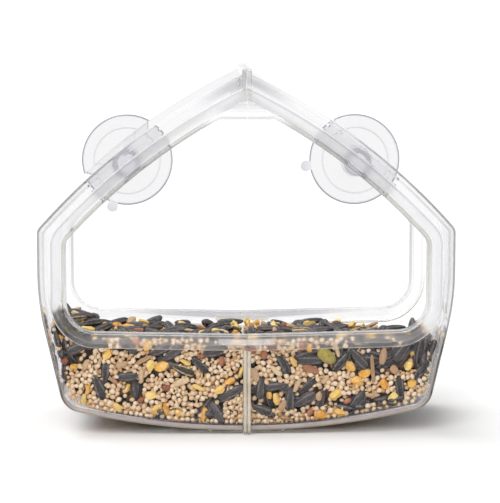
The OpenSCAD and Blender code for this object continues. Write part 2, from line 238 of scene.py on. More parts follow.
@dataclass(frozen=True)
class Outline:
    """House-shaped outline of the right half and of its opening, with the sizes of the part."""

    half_w: float = 82.5
    peak_z: float = 143.4
    shoulder_z: float = 81.5
    roof_r: float = 250.0
    shoulder_r: float = 4.0
    floor_z: float = 1.2
    floor_r: float = 290.0
    bend_z: float = 64.5
    bend_r: float = 100.0
    side_lean: float = 13.0
    corner_r: float = 9.0
    frame_w: float = 11.3
    lip_z: float = 39.8
    lip_rise: float = 1.3
    web_drop: float = 5.8
    open_shoulder_r: float = 5.0
    open_corner_r: float = 12.0
    rim_w: float = 6.0
    rim_t: float = 1.6
    wall_t: float = 2.0
    roof_flange_t: float = 1.9
    seam_x: float = 0.1
    # Distances from the seam up to which, and from which on, the lines are cut straight across the width
    straight_x: float = 3.0
    blend_x: float = 25.0
    # Distance from the opening's edge over which its lines go from flat under the peak to straight on
    web_out: float = 2.4
    # Distance from the seam at which the roof's lines start to turn towards their own shoulders
    late_x: float = 64.0
    # Shares of the side's stations above the bend and round it, the rest being below it
    upper_f: float = 0.3
    bend_f: float = 0.4

    @property
    def roof_c(self) -> Array:
        """Centre of the roof's bow, which passes through the peak and the shoulder."""
        start, end = np.array([0.0, self.peak_z]), np.array([self.half_w, self.shoulder_z])
        chord = end - start
        length = np.linalg.norm(chord)
        inward = np.array([chord[1], -chord[0]]) / length
        return (start + end) / 2 + inward * np.sqrt(self.roof_r ** 2 - (length / 2) ** 2)

    def roof_z(self, x: float, depth: float | Array) -> Array:
        """Height at distance x from the seam and at a given depth under the roof's outer surface."""
        return self.roof_c[1] + np.sqrt((self.roof_r - depth) ** 2 - (x - self.roof_c[0]) ** 2)

    def under_roof(self, x: float, depth: float) -> Array:
        """Point at distance x from the seam that lies a given depth under the roof's outer surface."""
        return np.array([x, self.roof_z(x, depth)])

    @property
    def lean_n(self) -> Array:
        """Outward normal of the leaning side wall."""
        return turned(-self.side_lean)

    @property
    def bend_c(self) -> Array:
        """Centre of the bend in the side wall."""
        return np.array([self.half_w - self.bend_r, self.bend_z])

    @property
    def lean_p(self) -> Array:
        """Upper end of the leaning stretch of the side wall."""
        return self.bend_c + self.bend_r * self.lean_n

    @property
    def floor_c(self) -> Array:
        """Centre of the underside's bow."""
        return np.array([0.0, self.floor_z + self.floor_r])

    @property
    def corner_c(self) -> Array:
        """Centre of the lower corner, which touches the leaning wall and the underside's bow."""
        down = turned(-90.0 - self.side_lean)
        start = self.lean_p - self.corner_r * self.lean_n - self.floor_c
        along = start @ down
        reach = np.sqrt(along ** 2 + (self.floor_r - self.corner_r) ** 2 - start @ start) - along
        return self.floor_c + start + reach * down

    @property
    def floor_deg(self) -> float:
        """Angle in degrees at which the end of the underside's bow is seen from its centre."""
        d = self.corner_c - self.floor_c
        return float(np.degrees(np.arctan2(d[1], d[0])))

    @property
    def floor_n(self) -> Array:
        """Outward normal of the underside at its end."""
        return turned(self.floor_deg)

    def floor_at(self, x: float | Array) -> Array:
        """Height of the underside at distances x from the seam."""
        return self.floor_c[1] - np.sqrt(self.floor_r ** 2 - np.square(x))

    @property
    def shoulder_c(self) -> Array:
        """Centre of the outer shoulder."""
        return self.under_roof(self.half_w - self.shoulder_r, self.shoulder_r)

    @property
    def open_x(self) -> float:
        """Distance of the opening's side from the seam."""
        return self.half_w - self.frame_w

    @property
    def open_shoulder_c(self) -> Array:
        """Centre of the opening's shoulder."""
        return self.under_roof(self.open_x - self.open_shoulder_r, self.frame_w + self.open_shoulder_r)

    @property
    def open_corner_c(self) -> Array:
        """Centre of the opening's lower corner."""
        x = self.open_x - self.open_corner_r
        rise = np.radians(self.lip_rise)
        return np.array([x, self.lip_z + x * np.tan(rise) + self.open_corner_r / np.cos(rise)])

    def heading(self, point: Array) -> float:
        """Angle in degrees at which a point is seen from the roof's centre."""
        d = point - self.roof_c
        return float(np.degrees(np.arctan2(d[1], d[0])))

    @property
    def roof_end_x(self) -> float:
        """Distance from the seam at which the roof's outer bow meets the shoulder."""
        return float(self.roof_c[0] + self.roof_r * turned(self.heading(self.shoulder_c))[0])

    @property
    def floor_end_x(self) -> float:
        """Distance from the seam at which the underside meets the lower corner."""
        return float(self.corner_c[0] + self.corner_r * self.floor_n[0])

    def roof_lines(self, out: Array, is_open: Array, x: Array) -> Array:
        """Lines that follow the roof's bow, at distances outwards from the outline or the opening.

        A point is roof centre + radius (cos a, sin a). Near the seam the angle a is the one at which the line
        stands at distance x, further out it is the angle of the outline at x, and at the shoulder it ends at
        the line's own shoulder. The opening's lines are cut off flat under the peak.

        Args:
            out: Distance of each line outwards, stations by lines.
            is_open: Whether each line belongs to the opening.
            x: Distance of each station from the seam, on the outline.

        Returns:
            Points, stations by lines by 2.
        """
        c = self.roof_c
        x = x[:, None]
        r = np.where(is_open, self.roof_r - self.frame_w, self.roof_r) + out
        low = self.roof_z(0.0, self.frame_w) - self.web_drop
        high = self.roof_z(0.0, self.frame_w - np.clip(out, 0.0, self.rim_w))
        top = np.where(is_open, low + (high - low) * ease(out / self.web_out), np.inf)
        across = np.minimum(np.sqrt(r ** 2 - (x - c[0]) ** 2), top - c[1])
        straight = np.degrees(np.arctan2(across, x - c[0]))
        end = self.heading(self.shoulder_c)
        own_end = np.where(is_open, self.heading(self.open_shoulder_c), end)
        late = ease((x - self.late_x) / (self.roof_end_x - self.late_x))
        radial = np.degrees(np.arccos((x - c[0]) / self.roof_r)) + (own_end - end) * late
        far = ease((x - self.straight_x) / (self.blend_x - self.straight_x))
        ray = turned(straight * (1.0 - far) + radial * far)
        return c + np.minimum(r, (top - c[1]) / ray[..., 1])[..., None] * ray

    def arc_lines(
        self, out: Array, is_open: Array, f: Array,
        centre: tuple[Array, Array], radius: tuple[float, float],
        start: tuple[float, float], end: tuple[float, float],
    ) -> Array:
        """Lines round a corner: centre + (radius + out)(cos a, sin a), with a going evenly from start to end.

        Args:
            out: Distance of each line outwards, stations by lines.
            is_open: Whether each line belongs to the opening.
            f: Share of the corner at each station.
            centre: Centre of the outline's corner and of the opening's.
            radius: Their radii.
            start: Their first angles in degrees.
            end: Their last angles in degrees.

        Returns:
            Points, stations by lines by 2.
        """
        a0, a1 = np.where(is_open, start[1], start[0]), np.where(is_open, end[1], end[0])
        r = np.where(is_open, radius[1], radius[0]) + out
        c = np.where(is_open[:, None], centre[1], centre[0])
        return c + r[..., None] * turned(a0 + (a1 - a0) * f[:, None])

    def side_lines(self, out: Array, is_open: Array, f: Array) -> Array:
        """Lines down the side: the outline's go straight, round the bend and along the lean.

        The opening's lines go straight all the way.

        Args:
            out: Distance of each line outwards, stations by lines.
            is_open: Whether each line belongs to the opening.
            f: Share of the side at each station.

        Returns:
            Points, stations by lines by 2.
        """
        f = f[:, None]
        above, round_ = self.upper_f, self.bend_f
        upper = 1.0 - np.clip(f / above, 0, 1)
        bend = np.clip((f - above) / round_, 0, 1)
        lower = np.clip((f - (above + round_)) / above, 0, 1)
        wall = self.bend_c + (self.bend_r + out)[..., None] * turned(-self.side_lean * bend)
        wall = wall + upper[..., None] * np.array([0.0, self.shoulder_c[1] - self.bend_z])
        drop = self.corner_c + self.corner_r * self.lean_n - self.lean_p
        wall = wall + lower[..., None] * drop
        z0, z1 = self.open_shoulder_c[1], self.open_corner_c[1]
        edge = np.stack([self.open_x + out, np.broadcast_to(z0 + (z1 - z0) * f, out.shape)], axis=-1)
        return np.where(is_open[:, None], edge, wall)

    def base_lines(self, out: Array, is_open: Array, x: Array) -> Array:
        """Lines from the lower corners to the seam, along the underside's bow or straight along the lip.

        Args:
            out: Distance of each line outwards, stations by lines.
            is_open: Whether each line belongs to the opening.
            x: Distance of each station from the seam, on the outline.

        Returns:
            Points, stations by lines by 2.
        """
        rise = np.radians(self.lip_rise)
        c = np.where(is_open, self.open_corner_c[0], self.corner_c[0])
        r = np.where(is_open, self.open_corner_r, self.corner_r) + out
        end = c + r * np.where(is_open, np.sin(rise), self.floor_n[0])
        near = self.straight_x + 1.0
        x = x[:, None]
        own = np.where(x <= near, x, near + (x - near) * (end - near) / (self.floor_end_x - near))
        lip = self.lip_z - out / np.cos(rise) + own * np.tan(rise)
        base = self.floor_c[1] - np.sqrt((self.floor_r + out) ** 2 - own ** 2)
        return np.stack([own, np.where(is_open, lip, base)], axis=-1)


@dataclass(frozen=True)
class Stations:
    """Places along the outline, from the seam at the peak round to the seam at the floor."""

    roof: Array
    shoulder: Array
    side: Array
    corner: Array
    base: Array

    @property
    def lengths(self) -> list[int]:
        """Numbers of stations along the roof, shoulder, side, corner and base."""
        return [len(part) for part in (self.roof, self.shoulder, self.side, self.corner, self.base)]

    @property
    def count(self) -> int:
        """Number of all stations."""
        return sum(self.lengths)

    def shares(self, *values: float | Array) -> Array:
        """One value for each station from those of the roof, shoulder, side, corner and base in turn."""
        return np.concatenate([np.broadcast_to(v, n) for v, n in zip(values, self.lengths)])

    def ends(self, roof: float | Array, base: float | Array) -> Array:
        """One value for each station from those along the roof and the base, with zeros between."""
        return self.shares(roof, 0.0, 0.0, 0.0, base)

    def lines(self, shape: Outline, out: Array, is_open: Array) -> Array:
        """Points of every line at every station.

        Args:
            shape: The outline.
            out: Distance of each line outwards, stations by lines.
            is_open: Whether each line belongs to the opening.

        Returns:
            Points, stations by lines by 2.
        """
        parts = np.split(out, np.cumsum(self.lengths[:-1]))
        lean, floor, lip = -shape.side_lean, shape.floor_deg, shape.lip_rise - 90.0
        shoulder = (shape.heading(shape.shoulder_c), shape.heading(shape.open_shoulder_c))
        return np.concatenate([
            shape.roof_lines(parts[0], is_open, self.roof),
            shape.arc_lines(
                parts[1], is_open, self.shoulder, (shape.shoulder_c, shape.open_shoulder_c),
                (shape.shoulder_r, shape.open_shoulder_r), shoulder, (0.0, 0.0),
            ),
            shape.side_lines(parts[2], is_open, self.side),
            shape.arc_lines(
                parts[3], is_open, self.corner, (shape.corner_c, shape.open_corner_c),
                (shape.corner_r, shape.open_corner_r), (lean, 0.0), (floor, lip),
            ),
            shape.base_lines(parts[4], is_open, self.base),
        ])


class Graph:
    """Short way to add and join the nodes of one node tree."""

    def __init__(self, tree: Tree) -> None:
        """Keeps the tree."""
        self.tree = tree

    def add(self, kind: str, values: dict | None = None, **settings: object) -> Node:
        """Adds a node.

        Args:
            kind: Blender's name of the node.
            values: Input name or number to a value, or to the socket that feeds it.
            settings: Properties of the node.

        Returns:
            The node.
        """
        node = self.tree.nodes.new(kind)
        for key, value in settings.items():
            setattr(node, key, value)
        for key, value in (values or {}).items():
            if isinstance(value, Socket):
                self.tree.links.new(value, node.inputs[key])
            else:
                node.inputs[key].default_value = value
        return node

    def math(self, operation: str, a: object, b: object = 0.0) -> Socket:
        """Result of a Math node on two values or sockets."""
        return self.add("ShaderNodeMath", {0: a, 1: b}, operation=operation).outputs[0]

    def mix(self, share: object, a: object, b: object, blend: str = "MIX") -> Socket:
        """Colour between a and b by a share, mixed in the given way."""
        values = {0: share, 6: a, 7: b}
        return self.add("ShaderNodeMix", values, data_type="RGBA", blend_type=blend).outputs[2]

    def ranged(
        self, value: object, low: float, high: float, first: object = 0.0, last: object = 1.0
    ) -> Socket:
        """A value held between low and high, and brought between first and last."""
        values = {"Value": value, "From Min": low, "From Max": high, "To Min": first, "To Max": last}
        return self.add("ShaderNodeMapRange", values).outputs[0]

    def attribute(self, name: str, output: str = "Fac") -> Socket:
        """A value that the points of the mesh carry."""
        return self.add("ShaderNodeAttribute", attribute_name=name).outputs[output]

    def place(self) -> Socket:
        """Object coordinates."""
        return self.add("ShaderNodeTexCoord").outputs["Object"]

    def bump(self, height: Socket, strength: float, distance: float) -> Socket:
        """Normal of a surface that has a bump height."""
        values = {"Height": height, "Strength": strength, "Distance": distance}
        return self.add("ShaderNodeBump", values).outputs["Normal"]

    def group(self, tree: Tree, values: dict) -> Node:
        """Places a node group with its own values."""
        return self.add("ShaderNodeGroup", values, node_tree=tree)


def new_group(
    name: str, inputs: dict[str, float | tuple], outputs: dict[str, str]
) -> tuple[Graph, Node]:
    """Starts a shader node group.

    Args:
        name: Name of the group.
        inputs: Input names with their first values, a number or a colour.
        outputs: Output names with the kind of socket.

    Returns:
        The group's graph and its input node.
    """
    tree = bpy.data.node_groups.new(name, "ShaderNodeTree")
    for key, value in inputs.items():
        kind = "NodeSocketColor" if isinstance(value, tuple) else "NodeSocketFloat"
        tree.interface.new_socket(key, in_out="INPUT", socket_type=kind).default_value = value
    for key, kind in outputs.items():
        tree.interface.new_socket(key, in_out="OUTPUT", socket_type=kind)
    graph = Graph(tree)
    return graph, graph.add("NodeGroupInput")


def haze_group() -> Tree:
    """Slow clouding of a moulded surface: noise on Object coordinates brought between Low and High."""
    first = {"Scale": 40.0, "Low": 0.0, "High": 1.0}
    g, given = new_group("moulded haze", first, {"Value": "NodeSocketFloat"})
    noise = g.add("ShaderNodeTexNoise", {
        "Vector": g.place(), "Scale": given.outputs["Scale"], "Detail": 3.0, "Roughness": 0.55,
    })
    value = g.ranged(noise.outputs[0], 0.3, 0.7, given.outputs["Low"], given.outputs["High"])
    g.add("NodeGroupOutput", {"Value": value})
    return g.tree


def flow_group() -> Tree:
    """Height of the flow waves in a moulding: noise on Object coordinates, drawn out along the width."""
    g, given = new_group("mould flow", {"Scale": 60.0}, {"Height": "NodeSocketFloat"})
    drawn = g.add("ShaderNodeMapping", {"Vector": g.place(), "Scale": (0.45, 1.0, 1.0)})
    noise = g.add("ShaderNodeTexNoise", {
        "Vector": drawn.outputs[0], "Scale": given.outputs["Scale"], "Detail": 2.0, "Distortion": 0.6,
    })
    g.add("NodeGroupOutput", {"Height": noise.outputs[0]})
    return g.tree


def seed_group() -> Tree:
    """Colour of a seed: its own tone picks a shade between Deep and Pale, and fine noise mottles it."""
    first = {
        "Deep": (0.1, 0.1, 0.1, 1.0), "Pale": (0.8, 0.8, 0.8, 1.0), "Fleck": (0.5, 0.4, 0.3, 1.0),
        "Mottle": 0.3, "Scale": 900.0,
    }
    g, given = new_group("seed tone", first, {"Color": "NodeSocketColor", "Grain": "NodeSocketFloat"})
    values = {"Vector": g.place(), "Scale": given.outputs["Scale"], "Detail": 4.0}
    noise = g.add("ShaderNodeTexNoise", values).outputs[0]
    shade = g.mix(g.attribute("tone"), given.outputs["Deep"], given.outputs["Pale"])
    spots = g.math("MULTIPLY", g.ranged(noise, 0.5, 0.75), given.outputs["Mottle"])
    g.add("NodeGroupOutput", {"Color": g.mix(spots, shade, given.outputs["Fleck"]), "Grain": noise})
    return g.tree


@dataclass(frozen=True)
class Groups:
    """Node groups that several finishes share."""

    haze: Tree
    flow: Tree
    seed: Tree

    def hazy(self, g: Graph, scale: float, low: float, high: float) -> Socket:
        """Value of the haze group in a graph, with its own numbers."""
        return g.group(self.haze, {"Scale": scale, "Low": low, "High": high}).outputs["Value"]


@dataclass(frozen=True)
class Finish:
    """A look with a name, which makes its material from the shared node groups."""

    name: str

    def shader(self, g: Graph, groups: Groups) -> Node:
        """Adds the nodes of the look to a material.

        Args:
            g: Graph of the material.
            groups: The shared node groups.

        Returns:
            The shader that the surface shows.
        """
        raise NotImplementedError

    def make(self, groups: Groups) -> Material:
        """Makes the material.

        Args:
            groups: The shared node groups.

        Returns:
            The material.
        """
        material = bpy.data.materials.new(self.name)
        material.use_nodes = True
        material.node_tree.nodes.clear()
        g = Graph(material.node_tree)
        g.add("ShaderNodeOutputMaterial", {"Surface": self.shader(g, groups).outputs[0]})
        return material


@dataclass(frozen=True)
class ClearFinish(Finish):
    """Clear moulded plastic or vinyl, which lets the studio's light through to what lies behind it.

    Its mesh carries painted shade and rear painted shade, which darken its colour, and what it does to
    the light: cloud and veil, and where it is calm or a sheet.
    """

    tint: str
    ior: float
    smooth: float
    cloudy: float
    wave: float
    # Number of bounces after which light that is caught in the wall is let out
    bounces: float = 2.5
    # Share of the light that goes straight through where the wall is calm, and its colour then
    straight: float = 0.96
    passed: tuple[float, float, float, float] = (0.96, 0.96, 0.962, 1.0)
    # Facing values from which on a sheet bends the light a little, and all of it
    square: tuple[float, float] = (0.75, 0.92)

    def shader(self, g: Graph, groups: Groups) -> Node:
        """Glass, with light that goes straight through calm walls and through sheets seen square on."""
        flow = g.group(groups.flow, {"Scale": 70.0}).outputs["Height"]
        inside = g.add("ShaderNodeNewGeometry").outputs["Backfacing"]
        # Painted shade from the mesh: taken out of the base colour, and at half strength out of the light
        # that passes straight through
        rear = g.mix(inside, g.attribute("rear", "Color"), (0.0, 0.0, 0.0, 1.0))
        dye = g.mix(1.0, g.attribute("dye", "Color"), rear, "ADD")
        haze = groups.hazy(g, 45.0, self.smooth, self.cloudy)
        glass = g.add("ShaderNodeBsdfPrincipled", {
            "Base Color": g.mix(1.0, linear(self.tint), dye, "SUBTRACT"),
            "Roughness": g.math("ADD", haze, g.attribute("cloud")), "IOR": self.ior,
            "Transmission Weight": 1.0, "Normal": g.bump(flow, self.wave, 0.0004),
            "Coat Weight": g.attribute("veil"), "Coat IOR": 2.0, "Coat Roughness": 0.25,
        })
        facing = g.add("ShaderNodeLayerWeight", {"Blend": 0.5}).outputs["Facing"]
        sheet = g.math("MULTIPLY", g.attribute("sheet"), g.ranged(facing, *self.square, 1.0, 0.0))
        calm = g.math("MAXIMUM", g.attribute("calm"), sheet)
        path = g.add("ShaderNodeLightPath")
        caught = g.math("GREATER_THAN", path.outputs["Ray Depth"], self.bounces)
        light = g.math("MAXIMUM", path.outputs["Is Shadow Ray"], path.outputs["Is Diffuse Ray"])
        light = g.math("MAXIMUM", g.math("MAXIMUM", light, caught), g.math("MULTIPLY", calm, self.straight))
        through = g.add("ShaderNodeBsdfTransparent", {"Color": g.mix(0.5, self.passed, dye, "SUBTRACT")})
        return g.add("ShaderNodeMixShader", {0: light, 1: glass.outputs[0], 2: through.outputs[0]})


@dataclass(frozen=True)
class MilkyFinish(Finish):
    """The same plastic where light is scattered in it: pale, half clear and soft, with its own rim colour."""

    deep: str
    pale: str
    clear: float
    rim: str = "ffffff"
    # Share of the light that goes straight through
    sheer: float = 0.0

    def shader(self, g: Graph, groups: Groups) -> Node:
        """Soft plastic that is clouded between two colours."""
        color = g.mix(groups.hazy(g, 160.0, 0.0, 1.0), linear(self.deep), linear(self.pale))
        return g.add("ShaderNodeBsdfPrincipled", {
            "Base Color": g.mix(g.attribute("rim"), color, linear(self.rim)),
            "Roughness": groups.hazy(g, 90.0, 0.3, 0.5), "IOR": 1.3,
            "Transmission Weight": self.clear, "Alpha": 1.0 - self.sheer,
        })


@dataclass(frozen=True)
class SeedFinish(Finish):
    """Dry husk or grain, mottled and slightly rough, with stripes along the seed where it has them."""

    deep: str
    pale: str
    fleck: str
    mottle: float
    rough: float
    stripe: str = ""
    stripes: float = 0.0
    stripe_share: float = 0.0

    def shader(self, g: Graph, groups: Groups) -> Node:
        """Mottled grain, striped by a sine of the angle round the seed and along its two edges."""
        seed = g.group(groups.seed, {
            "Deep": linear(self.deep), "Pale": linear(self.pale), "Fleck": linear(self.fleck),
            "Mottle": self.mottle,
        })
        color, grain = seed.outputs["Color"], seed.outputs["Grain"]
        if self.stripes:
            axes = g.add("ShaderNodeSeparateXYZ", {0: g.attribute("grain", "Vector")})
            angle = g.math("ARCTAN2", axes.outputs["Z"], axes.outputs["Y"])
            wave = g.math("SINE", g.math("MULTIPLY", angle, self.stripes))
            ridge = g.math("POWER", g.math("ABSOLUTE", g.math("COSINE", angle)), 12.0)
            lines = g.math("ADD", g.math("MAXIMUM", wave, ridge), g.math("MULTIPLY", grain, 1.4))
            color = g.mix(g.ranged(lines, 1.2, 1.9, 0.0, self.stripe_share), color, linear(self.stripe))
        return g.add("ShaderNodeBsdfPrincipled", {
            "Base Color": color, "Roughness": groups.hazy(g, 300.0, self.rough - 0.1, self.rough + 0.1),
            "IOR": 1.45, "Normal": g.bump(grain, 0.35, 0.0003),
        })


@dataclass(frozen=True)
class CoreFinish(Finish):
    """Shadowed inside of the heap: cells of seed size in the seeds' own colours."""

    dark: str
    mid: str
    light: str

    def shader(self, g: Graph, groups: Groups) -> Node:
        """Matt cells in three colours, with painted shade that darkens them towards their rims."""
        cell = g.add("ShaderNodeTexVoronoi", {"Vector": g.place(), "Scale": 330.0})
        pick = g.add("ShaderNodeSeparateXYZ", {0: cell.outputs["Color"]}).outputs["X"]
        color = g.mix(g.ranged(pick, 0.35, 0.45), linear(self.dark), linear(self.mid))
        color = g.mix(g.ranged(pick, 0.6, 0.7), color, linear(self.light))
        # Painted shade between the seeds: each cell darker towards its rim
        rim = g.ranged(cell.outputs["Distance"], 0.0, 0.7, 1.0, 0.25)
        return g.add("ShaderNodeBsdfPrincipled", {
            "Base Color": g.mix(1.0, color, rim, "MULTIPLY"), "Roughness": groups.hazy(g, 200.0, 0.7, 0.9),
            "Normal": g.bump(rim, 0.8, 0.001),
        })


@dataclass(frozen=True)
class FloorFinish(Finish):
    """Plain pale sheet, with a trace of unevenness in its sheen."""

    grey: float = 0.95

    def shader(self, g: Graph, groups: Groups) -> Node:
        """Matt grey without a gloss."""
        return g.add("ShaderNodeBsdfPrincipled", {
            "Base Color": (self.grey, self.grey, self.grey, 1.0),
            "Roughness": groups.hazy(g, 3.0, 0.85, 0.95), "Specular IOR Level": 0.0,
        })


@dataclass(frozen=True)
class ShellFinishes:
    """Materials of a shell half: its clear walls, and the parts of them in which light is scattered, one of
    which also makes the painted highlight lines.
    """

    clear: Material
    milky: Material
    pale: Material
    hazy: Material
    sheer: Material
    dense: Material


@dataclass
class ShellHalf:
    """One clear half of the shell: roof, side, tray and rimmed faces as one moulding, with its flanges.

    Tongues, feet, seam edges, sills and painted highlight lines are pieces of their own, because they have
    other finishes.
    """

    side: Side
    finishes: ShellFinishes
    shape: Outline = Outline()
    half_d: float = 33.0
    rim_h: float = 2.4
    return_d: float = 6.0
    tray_flange_t: float = 1.5
    ridge_h: float = 1.45
    keel_h: float = 1.18
    cup_x: float = 48.5
    cup_depth_in: float = 8.2
    slot_r: float = 3.9
    gap_w: float = 13.6
    tongue_l: float = 11.2
    peak_tongue_l: float = 5.0
    tongue_clear: float = 0.35
    foot_x: float = 14.5
    foot_in: float = 5.0
    foot_r: float = 0.9
    lip_fall: float = 2.2
    lip_thin: float = 0.85
    sill_in: tuple[float, float, float] = (0.12, 0.7, 1.95)
    # Place and radius of the white tubes that paint the low rim's highlight
    highlight_out: float = 6.25
    highlight_in: float = 0.45
    highlight_r: float = 0.24
    bow_steps: int = 4
    # Depth of the milky bars in the flanges
    seam_edge_d: float = 1.0
    # Length that stands for the way between the outline and the opening when corners are rounded
    rail_gap: float = 8.0

    def section(self) -> dict[str, Array]:
        """Section of the wall as one closed loop, from the front lip over the outside and back inside.

        Returns:
            Arrays of one entry per point: is_open, out and y for its line, name of the corner it belongs to,
            and bow where it lies on the corner's rounding.
        """
        s = self.shape
        face, panel = self.half_d + self.rim_h, self.half_d
        inside, lip, floor = panel - s.wall_t, face - self.return_d, face - s.rim_t
        step = s.rim_w - s.rim_t
        # Name, whether it belongs to the opening, distance outwards, Y and length of its rounding
        outer = [
            ("lip end", 1, 0.0, -lip, 0.7),
            ("lip", 1, 0.0, -face, 1.1),
            ("lip foot", 1, s.rim_t + 0.2, -face, 0.06),
            ("rim", 1, s.rim_w, -face, 0.7),
            ("step", 1, s.rim_w, -panel, 0.4),
            ("sole", 0, -s.wall_t - 0.4, -panel, 0.25),
            ("edge", 0, 0.0, -panel, 0.8),
        ]
        inner = [
            ("wall", 0, -s.wall_t, -inside, 0.8),
            ("inner step", 1, step, -inside, 0.5),
            ("inner rim", 1, step, -floor, 0.3),
            ("inner lip", 1, s.rim_t, -floor, 0.3),
            ("inner end", 1, s.rim_t, -lip, 0.7),
        ]
        rows = outer + outer[::-1] + inner[::-1] + inner
        table = np.array([row[1:] for row in rows])
        table[len(outer):-len(inner), 2] *= -1.0
        rail, corner, reach = table[:, 0], table[:, 1:3], table[:, 3]
        edge = np.roll(corner, -1, axis=0) - corner
        change = np.roll(rail, -1) - rail
        across = np.stack([-change * self.rail_gap, 0.0 * change], axis=1)
        points = round_corners(corner, np.where(change[:, None] != 0, across, edge), reach, self.bow_steps)
        per = points.shape[1]
        return {
            "is_open": np.repeat(rail > 0.5, per), "out": points[..., 0].ravel(), "y": points[..., 1].ravel(),
            "name": np.repeat([row[0] for row in rows], per),
            "bow": np.tile([0.0, *[1.0] * (per - 2), 0.0], len(rail)),
        }

    def low(self, st: Stations) -> Array:
        """Share of the tray's base at each station: 0 down to the lower corner, 1 from its end on."""
        return st.shares(0.0, 0.0, 0.0, st.corner, 1.0)

    def looks(self, sec: dict[str, Array], st: Stations) -> dict[str, Array]:
        """What the moulding does to the light at each point of the shell, and the shade painted into its
        colour.

        Painted shade is taken out of the base colour: grey lines and greyed bands that stand in for the dark
        lines and greys that the clear walls show by refraction. Each zone is a share along the section times
        a share along the outline, times its own painted shade. The lip walls, outer edges, the floor's edge
        and the flanges, which are thick to look into, get the most of it. The low rim is cloudy and has a
        veil of sheen, as has the roof's top. The arms' flat faces are calm: most light goes straight through
        them. The outer skin is a sheet, which is calm where it is seen square on. Rear painted shade is the
        painted shade that the back face has more of, like the front face, where it is seen from outside.

        Args:
            sec: The section.
            st: The stations.

        Returns:
            Painted shade and rear painted shade as vectors and the others as numbers, one row for each point
            of the shell.
        """
        s = self.shape
        name, is_open, out, bow = sec["name"], sec["is_open"], sec["out"], sec["bow"]
        front, flat = sec["y"] < 0, bow == 0.0
        # Shares along the section
        foot = 1.0 - ease((out - s.rim_t - 0.14) / 0.12)
        lips = np.isin(name, ("lip", "lip foot"))
        lip = np.where(is_open, foot, 0.0)
        low_lip = lip * ease((out - 0.5) / 0.6) * lips
        outside = ~is_open & (name != "wall")
        sole = np.where(outside, ease((out + s.wall_t + 0.46) / 0.12), 0.0)
        wall = np.where(outside & front, ease((out + s.wall_t + 0.3) / 0.2), 0.0)
        edge, step, line = ((name == key) * bow * front for key in ("edge", "rim", "sole"))
        rim = is_open & (np.abs(sec["y"]) > self.half_d)
        brow = ~is_open & (out < -0.5) & front
        wedge = (lips & ~front) * np.where(name == "lip foot", foot, 1.0)
        web_shade = (name == "lip foot") & front
        skin = (name == "edge") & (out > -0.01) & flat
        face = np.isin(name, ("rim", "lip foot")) & front & (out > s.rim_t + 0.3)
        panel = np.isin(name, ("step", "sole")) & front & flat
        behind = bow * ~front * (1.0 * (name == "lip") + 0.4 * (name == "rim"))
        # Shares along the outline
        low = self.low(st)
        high = 1.0 - low
        arm = st.shares(ease((st.roof - 14.0) / 12.0), 1.0, 1.0 - 0.4 * st.side, 0.6 - 0.6 * st.corner, 0.0)
        outer = st.shares(ease((st.roof - 30.0) / 40.0), 1.0, 1.0, 1.0, 1.0)
        far = ease((st.roof - 48.0) / 26.0)
        beside = st.shares(far, 1.0, 1.0 - 0.3 * st.side, 0.7 - 0.7 * st.corner, 0.0)
        upright = st.shares(0.25, 0.25 + 0.75 * st.shoulder, 1.0, 1.0 - st.corner, 0.0)
        peak = st.ends(1.0 - ease((st.roof - 2.0) / 21.0), 0.0)
        web = st.ends(np.exp(-((st.roof - 7.0) / 7.0) ** 2), 0.0)
        seam = st.ends(0.0, 1.0 - st.base / s.floor_end_x)
        roof = st.shares(1.0, 1.0 - st.shoulder, 0.0, 0.0, 0.0)
        # Painted shade of each zone: its share along the section, its share along the outline, and what it
        # takes from red, green and blue
        zones = [
            (lip * front, arm, (0.3, 0.31, 0.34)),
            (lip * ~front, arm, (0.08, 0.08, 0.09)),
            (edge, outer * high, (0.7, 0.7, 0.7)),
            (sole, low, (0.04, 0.05, 0.05)),
            (wall, beside, (0.2, 0.22, 0.25)),
            (line, beside, (0.4, 0.4, 0.39)),
            (step, high, (0.3, 0.3, 0.3)),
            (brow, peak, (0.36, 0.36, 0.34)),
            (web_shade, web, (0.3, 0.3, 0.28)),
            (skin, roof, (0.5, 0.5, 0.5)),
            (face, high, (0.13, 0.13, 0.125)),
            (panel, upright, (0.07, 0.07, 0.065)),
            (behind, upright, (0.42, 0.42, 0.4)),
            (low_lip * front, low, (0.3, 0.36, 0.42)),
            (wedge, ease(1.6 * seam), (0.57, 0.57, 0.55)),
        ]
        left = np.ones((st.count, len(name), 3))
        for part, share, dye in zones:
            left *= 1.0 - part[None, :, None] * share[:, None, None] * np.array(dye)
        dye = 1.0 - left
        inner = np.char.startswith(name, "inner") | (name == "wall")
        skins = np.flatnonzero(~inner)
        rear = np.zeros_like(dye)
        rear[:, skins] = np.clip(dye[:, skins[::-1]] - dye[:, skins], 0.0, 1.0) * ~front[skins, None]
        low, high = low[:, None], high[:, None]
        quiet = (flat | inner | ~front) & ~skin
        return {
            "dye": dye.reshape(-1, 3), "rear": rear.reshape(-1, 3),
            "cloud": (0.3 * (rim * low + face * high)).ravel(),
            "veil": (0.75 * rim * low + 0.55 * skin * roof[:, None]).ravel(),
            "calm": (quiet * (1.0 - 0.7 * face) * high).ravel(), "sheet": (skin * high).ravel(),
        }

    def seam_stations(self, thick: float) -> Array:
        """Distances from the seam that give a flange of the given thickness its rounded edge and its foot."""
        edge = thick - np.array([0.5, 0.3, 0.15, 0.04, 0.0])
        foot = thick + np.array([0.01, 0.12, 0.5, 1.1])
        return np.concatenate([[self.shape.seam_x, 0.2, 0.4], edge, foot])

    def flange_share(self, x: Array, thick: float) -> Array:
        """Share of a flange's height at distances from the seam: 1 on it, rounded at its edges, 0 past it."""
        bow = np.clip((x - thick + 0.5) / 0.5, 0.0, 1.0)
        seam = np.clip((0.4 - x) / 0.3, 0.0, 1.0)
        top = 1.0 - 0.25 * (1.0 - np.sqrt(1.0 - bow ** 2)) - 0.15 * (1.0 - np.sqrt(1.0 - seam ** 2))
        return np.where(x <= thick, top, np.where(x < thick + 0.1, 0.08, 0.0))

